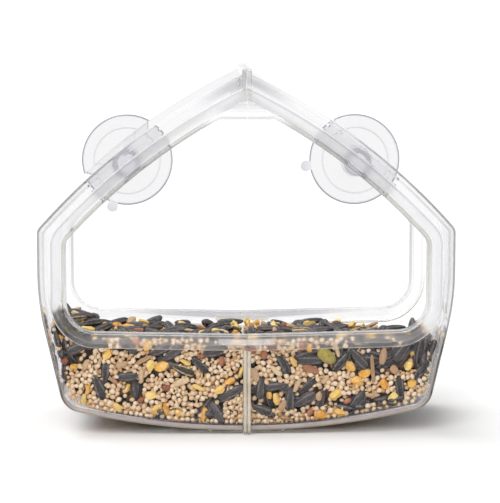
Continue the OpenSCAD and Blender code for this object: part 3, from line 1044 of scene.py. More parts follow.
    def stations(self) -> tuple[Stations, Array]:
        """Stations along the outline, closest together at the flanges and at the neck's slot.

        Returns:
            The stations, and the distance of each roof station from the cup's axis along the roof arm.
        """
        s = self.shape
        axis = s.under_roof(self.cup_x, self.cup_depth_in)
        axis_r = s.roof_r - self.cup_depth_in
        edge, gap = self.slot_r, self.gap_w / 2
        jump = np.array([-0.4, -0.02, 0.02, 0.4])
        steps = np.concatenate([
            [0.0], edge * np.sin(np.radians([14, 27, 40, 52, 63, 72, 80, 86, 89.5])), [edge + 0.02, 4.6, 5.6],
            gap + jump, gap + s.rim_t + jump, [10.0, 12.0],
        ])
        along = np.concatenate([-steps[:0:-1], steps])
        slot_x = s.roof_c[0] + s.roof_r * turned(s.heading(axis) - np.degrees(along / axis_r))[:, 0]
        seam = self.seam_stations(s.roof_flange_t)
        roof = np.concatenate([
            seam, np.linspace(seam[-1], slot_x[0], 40)[1:-1], slot_x,
            np.linspace(slot_x[-1], s.roof_end_x, 20)[1:],
        ])
        base = self.seam_stations(self.tray_flange_t)
        base = np.concatenate([np.linspace(s.floor_end_x, base[-1], 16)[1:-1], base[::-1]])
        far = np.degrees(np.arccos((roof - s.roof_c[0]) / s.roof_r))
        way = np.radians(s.heading(axis) - far) * axis_r
        return Stations(roof, *(np.linspace(0, 1, n)[1:] for n in (9, 13, 13)), base), way

    def grid(self) -> Array:
        """Points of the right half's shell: the section carried along the outline.

        Along the seam the outer skin moves out by the flange's share. At the cup the back rim sinks into the
        panel, and the opening's edge moves out by 3.1 + sqrt(r^2 - s^2) to form the neck's slot.

        Returns:
            Points, stations by section points by 3.
        """
        s = self.shape
        sec, (st, way) = self.section(), self.stations()
        is_open, y, name = sec["is_open"], sec["y"], sec["name"]
        back = y > 0
        face, panel = self.half_d + self.rim_h, self.half_d
        inside, lip = panel - s.wall_t, face - self.return_d
        ridge = self.flange_share(st.roof, s.roof_flange_t)
        keel = self.flange_share(st.base, self.tray_flange_t)
        share = st.ends(ridge, keel)[:, None]
        lift = st.ends(ridge * self.ridge_h, keel * self.keel_h)[:, None]
        edge = name == "edge"
        out = sec["out"] + lift * edge
        plate = np.isin(name, ("rim", "step", "sole"))
        flange_y = np.where(edge, y + np.sign(y) * self.rim_h, np.where(plate, np.sign(y) * face, y))
        depth = y + (flange_y - y) * share
        # Foot of the back lip, which runs down towards the seam
        foot = (name == "lip foot") & back
        fall = st.ends(0.0, self.lip_fall * (1.0 - st.base / s.floor_end_x))[:, None]
        out = np.where(foot, out + fall, out)
        # Low lip, which is thinner than the arms
        thin = 1.0 - self.lip_thin / s.rim_t * self.low(st)[:, None]
        out = np.where(np.isin(name, ("lip end", "inner lip", "inner end")), out * thin, out)
        # Break in the back rim and slot across it
        reach = np.abs(st.shares(way, np.inf, np.inf, np.inf, np.inf))[:, None]
        gap = self.gap_w / 2
        lips = np.isin(name, ("lip", "lip end", "lip foot"))
        steps = np.isin(name, ("rim", "step"))
        hollows = np.isin(name, ("inner step", "inner rim", "inner lip", "inner end"))
        cut = back & (lips | steps | hollows)
        gap_y = np.where(steps, panel, np.where(lips, inside + (y - lip) * s.wall_t / self.return_d, inside))
        sunk = cut & np.where(lips | steps, reach <= gap, reach <= gap + s.rim_t)
        depth = np.where(sunk, gap_y, depth)
        bay = s.frame_w - self.cup_depth_in + np.sqrt(np.clip(self.slot_r ** 2 - reach ** 2, 0, None))
        out = np.where(cut & (reach < self.slot_r), np.maximum(out, bay + 0.04 * out), out)
        line = st.lines(s, out, is_open)
        # Flanges are level on top and underneath
        level = np.zeros(line.shape[:2])
        level[:len(st.roof)] = line[:1, :, 1] - line[:len(st.roof), :, 1]
        level[-len(st.base):] = line[-1:, :, 1] - line[-len(st.base):, :, 1]
        height = line[..., 1] + level * share * edge
        return np.stack([line[..., 0], depth + Y_MID, height], axis=-1)

    def tongue(self, length: float, low: bool) -> Surface:
        """Tongue in the rim's hollow across the seam: a rounded bar along the lip or the flat under the peak.

        Args:
            length: How far it reaches on each side of the seam.
            low: Whether it lies in the lip, or else under the peak.

        Returns:
            The surface, for the back face of the right half.
        """
        s = self.shape
        c = self.tongue_clear
        g0, g1 = s.rim_t + c, s.rim_w - s.rim_t - c
        y0, y1 = self.half_d - s.wall_t + c, self.half_d + self.rim_h - s.rim_t - c
        loop = rounded_box((g0, y0), (g1, y1), 0.4, 3)
        x = length * np.array([-1.0, -0.98, -0.94, -0.5, 0.0, 0.5, 0.94, 0.98, 1.0])
        shrink = np.array([0.75, 0.92, 1.0, 1.0, 1.0, 1.0, 1.0, 0.92, 0.75])[:, None]
        out = (g0 + g1) / 2 + (loop[:, 0] - (g0 + g1) / 2) * shrink
        is_open = np.ones(len(loop), bool)
        line = (s.base_lines if low else s.roof_lines)(out, is_open, np.abs(x))
        wide = np.broadcast_to(x[:, None], out.shape)
        deep = (y0 + y1) / 2 + (loop[:, 1] - (y0 + y1) / 2) * shrink
        return tube(np.stack([wide, deep + Y_MID, line[..., 1]], axis=-1))

    def seam_edge(self, path: Array, thick: float) -> Surface:
        """Milky edge inside a flange: a flat bar of rounded section carried along a path in the seam's plane.

        Args:
            path: Corners of the bar's middle line, Y and Z.
            thick: Thickness of the flange.

        Returns:
            The surface, for the right half.
        """
        line = rounded_loop(path, np.r_[0.0, np.full(len(path) - 2, 1.0), 0.0], 4, False)
        along = unit(np.gradient(line, axis=0))
        across = np.stack([-along[:, 1], along[:, 0]], axis=1)
        deep = self.seam_edge_d / 2
        loop = rounded_box((self.shape.seam_x + 0.1, -deep), (thick - 0.15, deep), 0.2, 2)
        spot = line[:, None, :] + across[:, None, :] * loop[None, :, 1:]
        wide = np.broadcast_to(loop[:, 0], spot.shape[:2])
        return tube(np.stack([wide, spot[..., 0] + Y_MID, spot[..., 1]], axis=-1))

    def seam_edges(self) -> list[Surface]:
        """Milky edges of the tray's flange and of the roof's flange."""
        s = self.shape
        front = self.half_d + self.rim_h - 0.7
        spans = (
            (s.lip_z - s.rim_w - 0.4, 0.75, self.tray_flange_t),
            (s.peak_z - 12.0, s.peak_z + self.ridge_h - 0.8, s.roof_flange_t),
        )
        return [
            self.seam_edge(np.array([[-front, end], [-front, level], [front, level], [front, end]]), thick)
            for end, level, thick in spans
        ]

    def sills(self) -> Surface:
        """Hazy edges of the tray's floor inside the front and back panels.

        A rounded rectangle of inset and depth is carried along the outline from the side wall, round the
        lower corner and along the underside to the flange, and shrinks to a tenth at its upper end. Its outer
        strip carries the value rim.

        Returns:
            The surface, for the right half.
        """
        s = self.shape
        side, corner = np.linspace(0.75, 1.0, 9), np.linspace(0.0, 1.0, 13)[1:]
        base = np.linspace(s.floor_end_x, self.tray_flange_t + 0.2, 14)[1:]
        st = Stations(np.zeros(0), np.zeros(0), side, corner, base)
        low, strip, high = self.sill_in
        deep = (s.wall_t - 0.3) / 2
        half = np.array([[-low, -deep], [-strip, -deep], [-high, -deep]])
        loop = np.concatenate([half, half[::-1] * (1.0, -1.0)])
        loop = rounded_loop(loop, np.array([0.25, 0.05, 0.25, 0.25, 0.05, 0.25]), 2, True)
        middle = -(low + high) / 2
        grow = 0.1 + 0.9 * ease(st.shares(0.0, 0.0, (side - 0.75) * 2.0, 0.5 + corner / 2.0, 1.0))[:, None]
        line = st.lines(s, middle + (loop[:, 0] - middle) * grow, np.zeros(len(loop), bool))
        both = both_faces(line, self.half_d - s.wall_t / 2 + loop[:, 1] * grow)
        both.values["rim"] = np.tile(loop[:, 0] > -strip, 2 * st.count) * 1.0
        return both

    def trims(self) -> Surface:
        """Painted highlights: white lines along the low rim's foot inside the front and back panels, in place
        of the light that the rim's edge catches.

        A circle is carried along the opening's line at highlight_out, from the end of its side round its
        lower corner to the flange, and shrinks to a tenth at its upper end.

        Returns:
            The surface, for the right half.
        """
        s = self.shape
        side, corner = np.linspace(0.96, 1.0, 3), np.linspace(0.0, 1.0, 17)[1:]
        base = np.linspace(s.floor_end_x, self.tray_flange_t + 0.3, 8)[1:]
        st = Stations(np.zeros(0), np.zeros(0), side, corner, base)
        ring = self.highlight_r * turned(np.arange(0, 360, 45.0))
        grow = 0.1 + 0.9 * ease(st.shares(0.0, 0.0, 0.0, 2.5 * corner, 1.0))[:, None]
        line = st.lines(s, self.highlight_out + ring[:, 0] * grow, np.ones(len(ring), bool))
        return both_faces(line, self.half_d - self.highlight_in + ring[:, 1] * grow)

    def feet(self) -> Surface:
        """Two short pegs under the tray: circles of radius r(z), rounded at the foot, up to the floor."""
        z = np.array([0.0, 0.08, 0.25, 0.5, float(self.shape.floor_at(self.foot_x))])
        r = self.foot_r * np.array([0.6, 0.8, 0.95, 1.0, 1.0])
        ring = r[:, None, None] * turned(np.arange(0, 360, 20.0))
        peg = np.concatenate([ring, np.broadcast_to(z[:, None, None], (*ring.shape[:2], 1))], axis=-1)
        deep = self.half_d - self.foot_in
        pegs = [tube(peg + np.array([self.foot_x, y + Y_MID, 0.0])) for y in (-deep, deep)]
        return pegs[0].joined(pegs[1])

    def build(self) -> list[Object]:
        """Makes the half's pieces and puts the shell in place of its CAD node.

        Returns:
            Shell, tongues, feet, seam edges, sills and painted highlight lines.
        """
        name, body = self.side.value, self.side.body
        shell = tube(self.grid())
        shell.values.update(self.looks(self.section(), self.stations()[0]))
        tongues = [self.tongue(self.tongue_l, True), self.tongue(self.peak_tongue_l, False)]
        feet, (keel, ridge), sills, trims = self.feet(), self.seam_edges(), self.sills(), self.trims()
        if self.side is Side.LEFT:
            shell, feet, keel, ridge, sills, trims = (
                part.mirrored() for part in (shell, feet, keel, ridge, sills, trims)
            )
            tongues = [
                Surface(part.points * (1.0, -1.0, 1.0) + (0.0, 2 * Y_MID, 0.0), [f[::-1] for f in part.faces])
                for part in tongues
            ]
        look = self.finishes
        pieces = [
            add_piece(f"{name}_{part}", shape, finish, body, sharp)
            for part, shape, finish, sharp in (
                ("shell", shell, look.clear, 38.0), ("lip_tongue", tongues[0], look.pale, 50.0),
                ("peak_tongue", tongues[1], look.sheer, 50.0), ("feet", feet, look.dense, 60.0),
                ("seam_edge", keel, look.milky, 40.0), ("ridge_edge", ridge, look.sheer, 40.0),
                # trims are white tubes that paint the low rim's highlight
                ("sills", sills, look.hazy, 40.0), ("trims", trims, look.dense, 60.0),
            )
        ]
        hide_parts(body)
        return pieces


@dataclass
class SuctionCup:
    """Soft clear cup in one piece: head, neck, hub, bell with its raised ring, sealing lip and pull tab."""

    side: Side
    finish: Material
    tab_deg: float
    x: float = 48.5
    panel_y: float = 27.7
    cup_r: float = 19.3
    depth: float = 13.0
    seal_w: float = 1.8
    ring_r: float = 14.5
    ring_h: float = 0.5
    hub_r: float = 6.0
    hub_h: float = 3.4
    neck_r: float = 3.8
    head_r: float = 5.8
    head_t: float = 2.6
    clear: float = 0.4
    wall_t: float = 2.0
    tab_l: float = 3.9
    tab_w: float = 3.9

    def section(self) -> Array:
        """Radius and distance behind the panel, from the head's face to the roof of the hollow."""
        back = -self.wall_t - self.clear / 2
        front = back - self.head_t
        edge = self.depth - self.seal_w / 2
        slope = (edge - self.hub_h) / (self.cup_r - self.hub_r)
        ring = self.hub_h + (self.ring_r - self.hub_r) * slope
        hollow = self.hub_h + (self.depth - self.hub_h) / 2
        h = self.ring_h
        table = np.array([
            (2.0, front, 0.0), (self.head_r, front, 1.1), (self.head_r, back, 0.5), (self.neck_r, back, 0.3),
            (self.neck_r, self.clear, 0.3), (self.hub_r, self.clear, 0.4), (self.hub_r, self.hub_h, 0.7),
            (self.ring_r - 2 * h, ring - 2 * h * slope, 0.2), (self.ring_r - h, ring - 2 * h, 0.2),
            (self.ring_r + h, ring - h, 0.2), (self.ring_r + 2 * h, ring + 2 * h * slope, 0.3),
            (self.cup_r - 0.6, edge - 0.6 * slope, 0.05), (self.cup_r, edge, 0.12),
            (self.cup_r, self.depth, 0.12), (self.cup_r - self.seal_w, self.depth, 0.5),
            (self.ring_r, (hollow + self.depth) / 2 + h, 1.2), (self.hub_r, hollow, 1.5), (1.5, hollow, 0.0),
        ])
        return rounded_loop(table[:, :2], table[:, 2], 4, False)

    def build(self) -> Object:
        """Makes the cup: its section turned about the axis, with the lip's edge drawn out into the tab.

        The edge's radius grows by l - w/2 + sqrt((w/2)^2 - a^2) at a distance a from the tab's middle line.

        Returns:
            The cup's piece.
        """
        section = self.section()
        half = np.degrees(np.arcsin(self.tab_w / 2 / self.cup_r))
        near = half * np.sin(np.radians([0, 15, 30, 44, 57, 68, 78, 86, 90]))
        near = np.concatenate([near, [half + 0.15, half + 2.0]])
        turn = np.concatenate([-near[:0:-1], near, np.linspace(half + 4.0, 356.0 - half, 84)])
        off = (turn + 180.0) % 360.0 - 180.0
        a = self.cup_r * np.sin(np.radians(off))
        tab = (np.abs(off) <= half + 1e-6) * (
            self.tab_l - self.tab_w / 2 + np.sqrt(np.clip((self.tab_w / 2) ** 2 - a ** 2, 0.0, None))
        )
        radius = section[:, 0]
        edge = ease((radius - self.cup_r + 0.2) / 0.1)
        r = section[:, :1] + edge[:, None] * tab
        ray = turned(self.tab_deg + turn)
        centre = Outline().under_roof(self.x, self.wall_t + self.clear + self.head_r)
        grid = np.stack([
            self.side.sign * self.x + r * ray[:, 0],
            np.broadcast_to(self.panel_y + section[:, 1:], r.shape),
            centre[1] + r * ray[:, 1],
        ], axis=-1)
        name = self.side.value
        skin = tube(grid)
        outside = np.arange(len(section)) < np.argmax(radius)
        rim = ease((radius - self.cup_r + 0.6) / 0.1)[:, None] * (tab == 0.0)
        ring = np.exp(-((radius - self.ring_r + self.ring_h) / 0.3) ** 2) * outside
        hub = 1.0 - ease((radius - self.hub_r - 0.1) / 0.3)
        # Painted shade: an even grey over the whole cup, with darker painted lines along the lip's edge, the
        # raised ring, the hub and the tab's edge
        share = np.maximum(0.42 * rim, (0.2 * ring + 0.05 * hub)[:, None])
        share = np.maximum(share, 0.12 * edge[:, None] * (tab > 0.0))
        skin.values["dye"] = (0.12 + share.reshape(-1, 1)) * np.array([1.0, 1.0, 0.96])
        bell = ease((radius - self.hub_r - 0.5) / 0.5) * (1.0 - ease((radius - self.cup_r + 0.9) / 0.3))
        skin.values["calm"] = np.repeat(bell * (1.0 - np.minimum(2.0 * ring, 1.0)), len(turn))
        piece = add_piece(f"{name}_cup_skin", skin, self.finish, f"{name}_cup", 35.0)
        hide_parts(f"{name}_suction_cup")
        return piece


class Seed(Enum):
    """Kinds of seed in the mix."""

    SUNFLOWER = "sunflower"
    STRIPED = "striped_sunflower"
    MILLET = "millet"
    CORN = "cracked_corn"
    MILO = "milo"
    CHIP = "hulled_chips"
    STICK = "straw"
    CRUMB = "crumbs"
    GREEN = "green_seed"


@dataclass(frozen=True)
class SeedShape:
    """Form of one kind of seed: a body of turned rings, flattened, with one end drawn out to a point."""

    length: float
    width: float
    thick: float
    rings: int
    sides: int
    taper: float
    blunt: float
    knobbly: float
    slot: str
    # Circles that stand for the seed's outline while it is laid: place along its length and radius
    discs: tuple[tuple[float, float], ...]
    sharp: float = 60.0
    # How far a seed of this kind strays from its form
    uneven: float = 0.08

    def surface(self) -> Surface:
        """One seed about the origin, with its length on X and its flat side on Z.

        Ring t has radius sin(pi t^taper)^blunt, so that a taper under 1 draws out the far end. A knobbly seed
        has each point moved in or out by a sum of sines of its two parameters.

        Returns:
            The surface, with its points' places in the seed as the value grain.
        """
        t = (np.arange(self.rings) + 0.5) / self.rings
        a = np.arange(self.sides) * 2 * np.pi / self.sides
        r = np.sin(np.pi * t ** self.taper) ** self.blunt
        x = -np.cos(np.pi * t)
        rough = 1.0 + self.knobbly * (np.sin(3 * a + 5 * t[:, None]) + np.sin(2 * a - 9 * t[:, None] + 1.0))
        wide, thick = r[:, None] * np.cos(a) * rough, r[:, None] * np.sin(a) * rough
        body = np.stack([np.broadcast_to(x[:, None], rough.shape), wide, thick], axis=-1)
        ends = np.array([[-1.0, 0.0, 0.0], [1.0, 0.0, 0.0]])
        grain = np.concatenate([body.reshape(-1, 3), ends])
        n, m = self.rings, self.sides
        j = np.arange(m)
        k = (j + 1) % m
        rows = (np.arange(n - 1) * m)[:, None]
        quads = np.stack([rows + m + j, rows + m + k, rows + k, rows + j], axis=-1).reshape(-1, 4)
        start = np.stack([j, k, np.full(m, n * m)], axis=1)
        tip = np.stack([np.full(m, n * m + 1), (n - 1) * m + k, (n - 1) * m + j], axis=1)
        faces = quads.tolist() + start.tolist() + tip.tolist()
        size = np.array([self.length, self.width, self.thick]) / 2
        return Surface(grain * size, faces, {"grain": grain})


SHAPES: dict[Seed, SeedShape] = {
    Seed.SUNFLOWER: SeedShape(
        11.0, 4.9, 3.4, 7, 8, 0.74, 0.85, 0.0, "sunflower", ((-2.6, 2.1), (0.3, 2.2), (3.4, 1.3)),
    ),
    Seed.STRIPED: SeedShape(
        12.2, 5.4, 3.7, 7, 10, 0.76, 0.85, 0.0, "sunflower", ((-3.0, 2.3), (0.3, 2.5), (3.8, 1.5)),
    ),
    Seed.MILLET: SeedShape(2.3, 2.2, 2.0, 4, 7, 1.0, 1.0, 0.0, "seed_mix", ((0.0, 1.08),)),
    Seed.CORN: SeedShape(5.2, 3.9, 2.8, 4, 5, 0.9, 0.5, 0.16, "corn", ((-0.7, 1.7), (0.8, 1.7)), 20.0, 0.4),
    Seed.MILO: SeedShape(3.8, 3.4, 3.0, 4, 7, 0.95, 0.9, 0.06, "seed_mix", ((0.0, 1.75),), 60.0, 0.25),
    Seed.CHIP: SeedShape(
        7.0, 3.0, 1.8, 5, 6, 0.8, 0.8, 0.08, "seed_mix", ((-1.6, 1.4), (1.4, 1.2)), 30.0, 0.45,
    ),
    Seed.CRUMB: SeedShape(1.6, 1.3, 1.0, 3, 5, 0.9, 0.6, 0.12, "seed_mix", ((0.0, 0.62),), 30.0, 0.4),
    Seed.GREEN: SeedShape(8.6, 5.6, 2.8, 7, 10, 0.8, 0.75, 0.03, "seed_mix", ((-1.6, 2.5), (1.7, 2.3))),
    Seed.STICK: SeedShape(
        12.0, 1.7, 1.1, 6, 6, 0.9, 0.3, 0.0, "seed_mix",
        ((-4.4, 0.8), (-2.2, 0.9), (0.0, 0.9), (2.2, 0.9), (4.4, 0.8)),
    ),
}


class Wall(Enum):
    """Face of the heap on which seeds are laid."""

    FRONT = "front"
    BACK = "back"
    FLOOR = "floor"
    LEFT = "left"
    RIGHT = "right"
    TOP = "top"

    @property
    def upright(self) -> bool:
        """Whether it is one of the two long walls."""
        return self in (Wall.FRONT, Wall.BACK)

    @property
    def end(self) -> bool:
        """Whether it is one of the two short walls."""
        return self in (Wall.LEFT, Wall.RIGHT)


# Lowest and highest first and second place that is tried on each wall
SPANS: dict[Wall, tuple[int, int, int, int]] = {
    Wall.FRONT: (-78, 78, 2, 40), Wall.BACK: (-78, 78, 2, 40), Wall.FLOOR: (-66, 66, -37, 26),
    Wall.TOP: (-77, 77, -35, 24), Wall.LEFT: (-37, 26, 14, 47), Wall.RIGHT: (-37, 26, 14, 42),
}
# How much more is tried on a wall than its layers say
AREAS: dict[Wall, float] = {Wall.FLOOR: 1.5, Wall.TOP: 1.6, Wall.LEFT: 1.2, Wall.RIGHT: 1.2}
# Shares of small grain at which a seed is always and never laid: anywhere, long seeds and small ones
ANYWHERE, DARK, GRAIN = (1.5, 2.0), (0.35, 0.75), (0.55, 0.25)


@dataclass(frozen=True)
class Layer:
    """One round of laying seeds on a wall."""

    # How often each kind is chosen
    chance: dict[Seed, float]
    tries: int
    # Distance of the layer's outer side from the wall
    depth: float
    # Share of two discs' radii that keeps them apart
    loose: float
    grain: tuple[float, float] = ANYWHERE
    # Whether it lies behind what was laid before and shows in the gaps
    under: bool = False


def odd(corn: float, milo: float, chip: float, stick: float) -> dict[Seed, float]:
    """Chances of the broken bits."""
    return {Seed.CORN: corn, Seed.MILO: milo, Seed.CHIP: chip, Seed.STICK: stick}


def hulls(plain: float, striped: float) -> dict[Seed, float]:
    """Chances of the long seeds."""
    return {Seed.SUNFLOWER: plain, Seed.STRIPED: striped}


MILLET, DARK_SEED = {Seed.MILLET: 1.0}, {Seed.SUNFLOWER: 1.0}
SHEET = (
    Layer(odd(0.6, 0.14, 0.245, 0.015), 120, 0.0, 1.0), Layer(hulls(0.95, 0.05), 1400, 0.3, 0.84, DARK),
    Layer(MILLET, 16000, 0.0, 0.84, GRAIN), Layer(odd(0.62, 0.12, 0.25, 0.01), 250, 0.2, 0.8),
)
CRUMBS = (Layer({Seed.CRUMB: 1.0}, 7000, 0.1, 0.8, GRAIN),)
DEEP = (
    Layer(MILLET, 9000, 1.2, 0.8, GRAIN, True), Layer(DARK_SEED, 1200, 1.9, 0.7, (0.2, 0.9), True),
    Layer({Seed.CORN: 0.5, Seed.CHIP: 0.5}, 200, 1.8, 0.8, under=True),
    Layer(MILLET, 4000, 1.7, 0.85, under=True),
)
ENDS = (
    Layer(hulls(0.95, 0.05), 1400, 0.0, 0.8), Layer({Seed.CHIP: 0.5, Seed.MILLET: 0.5}, 900, 0.2, 0.85),
    Layer(DARK_SEED, 1400, 2.4, 0.6, under=True),
)
HEAP = (
    Layer(odd(0.5, 0.03, 0.45, 0.02), 55, 0.0, 0.9), Layer(hulls(0.93, 0.07), 1500, 0.0, 0.8),
    Layer(odd(0.5, 0.05, 0.43, 0.02), 300, 0.2, 0.85), Layer(MILLET, 60, 0.6, 0.9),
    Layer({Seed.SUNFLOWER: 0.6, Seed.CHIP: 0.2, Seed.CORN: 0.2}, 1500, 2.6, 0.6, under=True),
)
LAYERS: dict[Wall, tuple[Layer, ...]] = {
    Wall.FRONT: SHEET + CRUMBS + DEEP, Wall.BACK: SHEET + CRUMBS + DEEP, Wall.FLOOR: SHEET + DEEP,
    Wall.LEFT: ENDS, Wall.RIGHT: ENDS, Wall.TOP: HEAP,
}


@dataclass
class Laid:
    """Seeds of one wall: discs that are taken, and the seeds with their places."""

    discs: Array = field(default_factory=lambda: np.zeros((0, 3)))
    seeds: dict[Seed, list[tuple[float, ...]]] = field(default_factory=lambda: {kind: [] for kind in Seed})


@dataclass
class SeedFill:
    """Loose mixed seed that fills the tray: layers against each wall, a heap on top and a hidden core."""

    finishes: dict[Seed, Material]
    core: Material
    shape: Outline = Outline()
    front_y: float = -36.3
    back_y: float = 25.7
    lip_y: tuple[float, float] = (-34.4, 23.8)
    clear: float = 0.15
    top_z: float = 37.6
    wall_top_z: float = 37.6
    core_in: float = 4.4
    core_side: float = 2.3
    core_drop: float = 6.3
    # Reach of the layer on the floor and of the heap's top from the seam, and heights of the end walls
    floor_x: float = 66.0
    top_x: float = 76.4
    end_low: float = 16.0
    left_high: float = 44.0
    right_high: float = 36.0
    # Rise of the heap's top at the left end, its fall at the right end and its tilt between them
    left_rise: float = 4.6
    right_fall: float = 3.0
    tilt: float = 0.008
    # Rise of the long walls' top along the lip, its fall at the right end and how much lower the back is
    wall_rise: float = 0.023
    wall_fall: float = 2.0
    back_drop: float = 3.5
    # Smallest and largest scale of a seed, and how far it strays inwards
    sizes: tuple[float, float] = (0.84, 1.1)
    stray: float = 0.35
    number: int = 41
    # Place of the one green seed on the front wall, and its turn
    green: tuple[float, float, float] = (32.0, 30.4, -0.7)

    def __post_init__(self) -> None:
        """Starts the one source of chance that every seed is laid with."""
        self.rng = np.random.default_rng(self.number)

    def right_end(self, x: Array) -> Array:
        """Share of the fall towards the right end at distances x from the seam."""
        return ease((x - 40.0) / 34.0)

    def heap(self, x: Array, y: Array) -> Array:
        """Height of the heap's top: it rises at the left end and falls at the right, with swells of sines."""
        swell = 0.5 * np.sin(x / 13.0 + 0.6) * np.cos(y / 11.0) + 0.4 * np.sin(x / 6.1 + y / 8.0)
        ends = self.left_rise * ease((-x - 52.0) / 17.0) - self.right_fall * self.right_end(x)
        return self.top_z - self.tilt * x + ends + swell

    def inside(self, wall: Wall, a: Array, b: Array, r: Array) -> bool:
        """Whether discs lie within a wall's area.

        Args:
            wall: The wall.
            a: First place of each disc on the wall.
            b: Second place.
            r: Radius.

        Returns:
            True if all of them do.
        """
        s = self.shape
        if wall.upright:
            p = np.stack([np.abs(a), b], axis=-1)
            room = s.wall_t + self.clear + r
            lean = (p - s.lean_p) @ s.lean_n <= -room
            base = np.linalg.norm(p - s.floor_c, axis=-1) <= s.floor_r - room
            q = p - s.corner_c
            outside = (q @ s.lean_n > 0) & (q @ s.floor_n > 0)
            corner = ~outside | (np.linalg.norm(q, axis=-1) <= s.corner_r - room)
            drop = self.back_drop if wall is Wall.BACK else 0.0
            fall = self.wall_fall * self.right_end(a)
            top = b <= self.wall_top_z - drop + self.wall_rise * np.abs(a) - fall - r
            return bool(np.all(lean & base & corner & top))
        low, high = self.front_y + self.clear, self.back_y - self.clear
        if wall is Wall.FLOOR:
            return bool(np.all((np.abs(a) <= self.floor_x - r) & (b - r >= low) & (b + r <= high)))
        if wall is Wall.TOP:
            near, far = self.lip_y
            return bool(np.all((np.abs(a) <= self.top_x - r) & (b - r >= near) & (b + r <= far)))
        top = self.left_high if wall is Wall.LEFT else self.right_high
        return bool(np.all((a - r >= low) & (a + r <= high) & (b - r >= self.end_low) & (b + r <= top)))

    def placed(self, wall: Wall, a: Array, b: Array, depth: Array) -> tuple[Array, ...]:
        """Points at a depth behind a wall, with the wall's two directions and its inward normal there.

        Args:
            wall: The wall.
            a: First place on the wall.
            b: Second place.
            depth: Distance inwards.

        Returns:
            Points, first and second directions and normals, each n by 3.
        """
        s = self.shape
        zero, one = np.zeros_like(a), np.ones_like(a)
        if wall.upright:
            y, n = (self.front_y + depth, one) if wall is Wall.FRONT else (self.back_y - depth, -one)
            spots, first, second, normal = (a, y, b), (one, zero, zero), (zero, zero, one), (zero, n, zero)
        elif wall is Wall.FLOOR:
            r, turn = s.floor_r - s.wall_t - depth, a / s.floor_r
            sin, cos = np.sin(turn), np.cos(turn)
            spots = (r * sin, b, s.floor_c[1] - r * cos)
            first, second, normal = (cos, zero, sin), (zero, one, zero), (-sin, zero, cos)
        elif wall is Wall.TOP:
            spots = (a, b, self.heap(a, b) - depth)
            first, second, normal = (one, zero, zero), (zero, one, zero), (zero, zero, -one)
        else:
            side = 1.0 if wall is Wall.RIGHT else -1.0
            cos, sin = s.lean_n[0], -s.lean_n[1]
            edge = s.lean_p[0] - (s.lean_p[1] - b) * sin / cos
            spots = (side * (edge - (s.wall_t + depth) * cos), a, b + (s.wall_t + depth) * sin)
            first, second = (zero, one, zero), (side * sin * one, zero, cos * one)
            normal = (-side * cos * one, zero, sin * one)
        return tuple(np.stack(v, axis=-1) for v in (spots, first, second, normal))

    def grainy(self, wall: Wall, a: Array, b: Array) -> Array:
        """Share of small grain at places on a wall.

        On the front and back it is high on the left, with patches of sines, and low on the right apart from
        a wavy band at mid height, a layer on the floor and a patch beside the seam. It is high in the lower
        corners, where long seeds find no room, and low elsewhere.

        Args:
            wall: The wall.
            a: First place on the wall.
            b: Second place.

        Returns:
            Shares between 0 and 1.
        """
        if wall is Wall.TOP:
            return np.full_like(a, 0.12)
        if not wall.upright:
            return np.full_like(a, 0.1)
        floor = self.shape.floor_at(a)
        patch = np.sin(a / 5.3 + 1.2) * np.sin(b / 4.1 + a / 17.0) + 0.5 * np.sin(a / 2.9 - b / 3.3)
        left = 0.58 + 0.6 * patch - 0.5 * ease((-a - 58.0) / 10.0) - 0.3 * ease((b - 33.0) / 4.0)
        corner = np.exp(-((np.abs(a) - 68.0) / 6.0) ** 2 - ((b - 12.5) / 5.0) ** 2)
        band = np.exp(-((b - 21.0 - 2.2 * np.sin(a / 11.0 + 0.4)) / 3.4) ** 2)
        low = np.exp(-((b - floor - 4.0) / 3.0) ** 2) * (1.0 - ease((a - 32.0) / 14.0))
        seam = np.exp(-((a - 10.0) / 9.0) ** 2 - ((b - 32.0) / 5.0) ** 2)
        right = (np.maximum(np.maximum(band, low), seam) + 0.12 * patch) * (1.0 - ease((b - 32.0) / 4.0))
        share = left + (right - left) * ease((a + 4.0) / 10.0) + 0.7 * corner
        return np.clip(share, 0.0, 1.0)

    def lay(self, wall: Wall, laid: Laid, layer: Layer) -> None:
        """Tries seeds at chance places on a wall and keeps those that overlap nothing laid before.

        Args:
            wall: The wall.
            laid: What lies there, which is added to.
            layer: What is laid and how. Between its two shares of small grain, chance decides.
        """
        s, rng = self.shape, self.rng
        kinds, chance = list(layer.chance), list(layer.chance.values())
        tries = int(layer.tries * AREAS.get(wall, 1.0))
        a0, a1, b0, b1 = SPANS[wall]
        pick = rng.choice(len(kinds), tries, p=np.array(chance) / sum(chance))
        a = rng.uniform(a0, a1, tries)
        b = rng.uniform(b0, b1, tries)
        angle = rng.uniform(0.0, 2 * np.pi, tries)
        size = rng.uniform(*self.sizes, tries)
        # Every fifth seed is tried along the seam, where it can lie close
        close = (np.arange(tries) % 5 == 0) & (wall is Wall.TOP)
        a = np.where(close, np.sign(a) * rng.uniform(1.0, 4.0, tries), a)
        angle = np.where(close, np.pi / 2 + rng.normal(0.0, 0.12, tries), angle)
        if wall.upright:
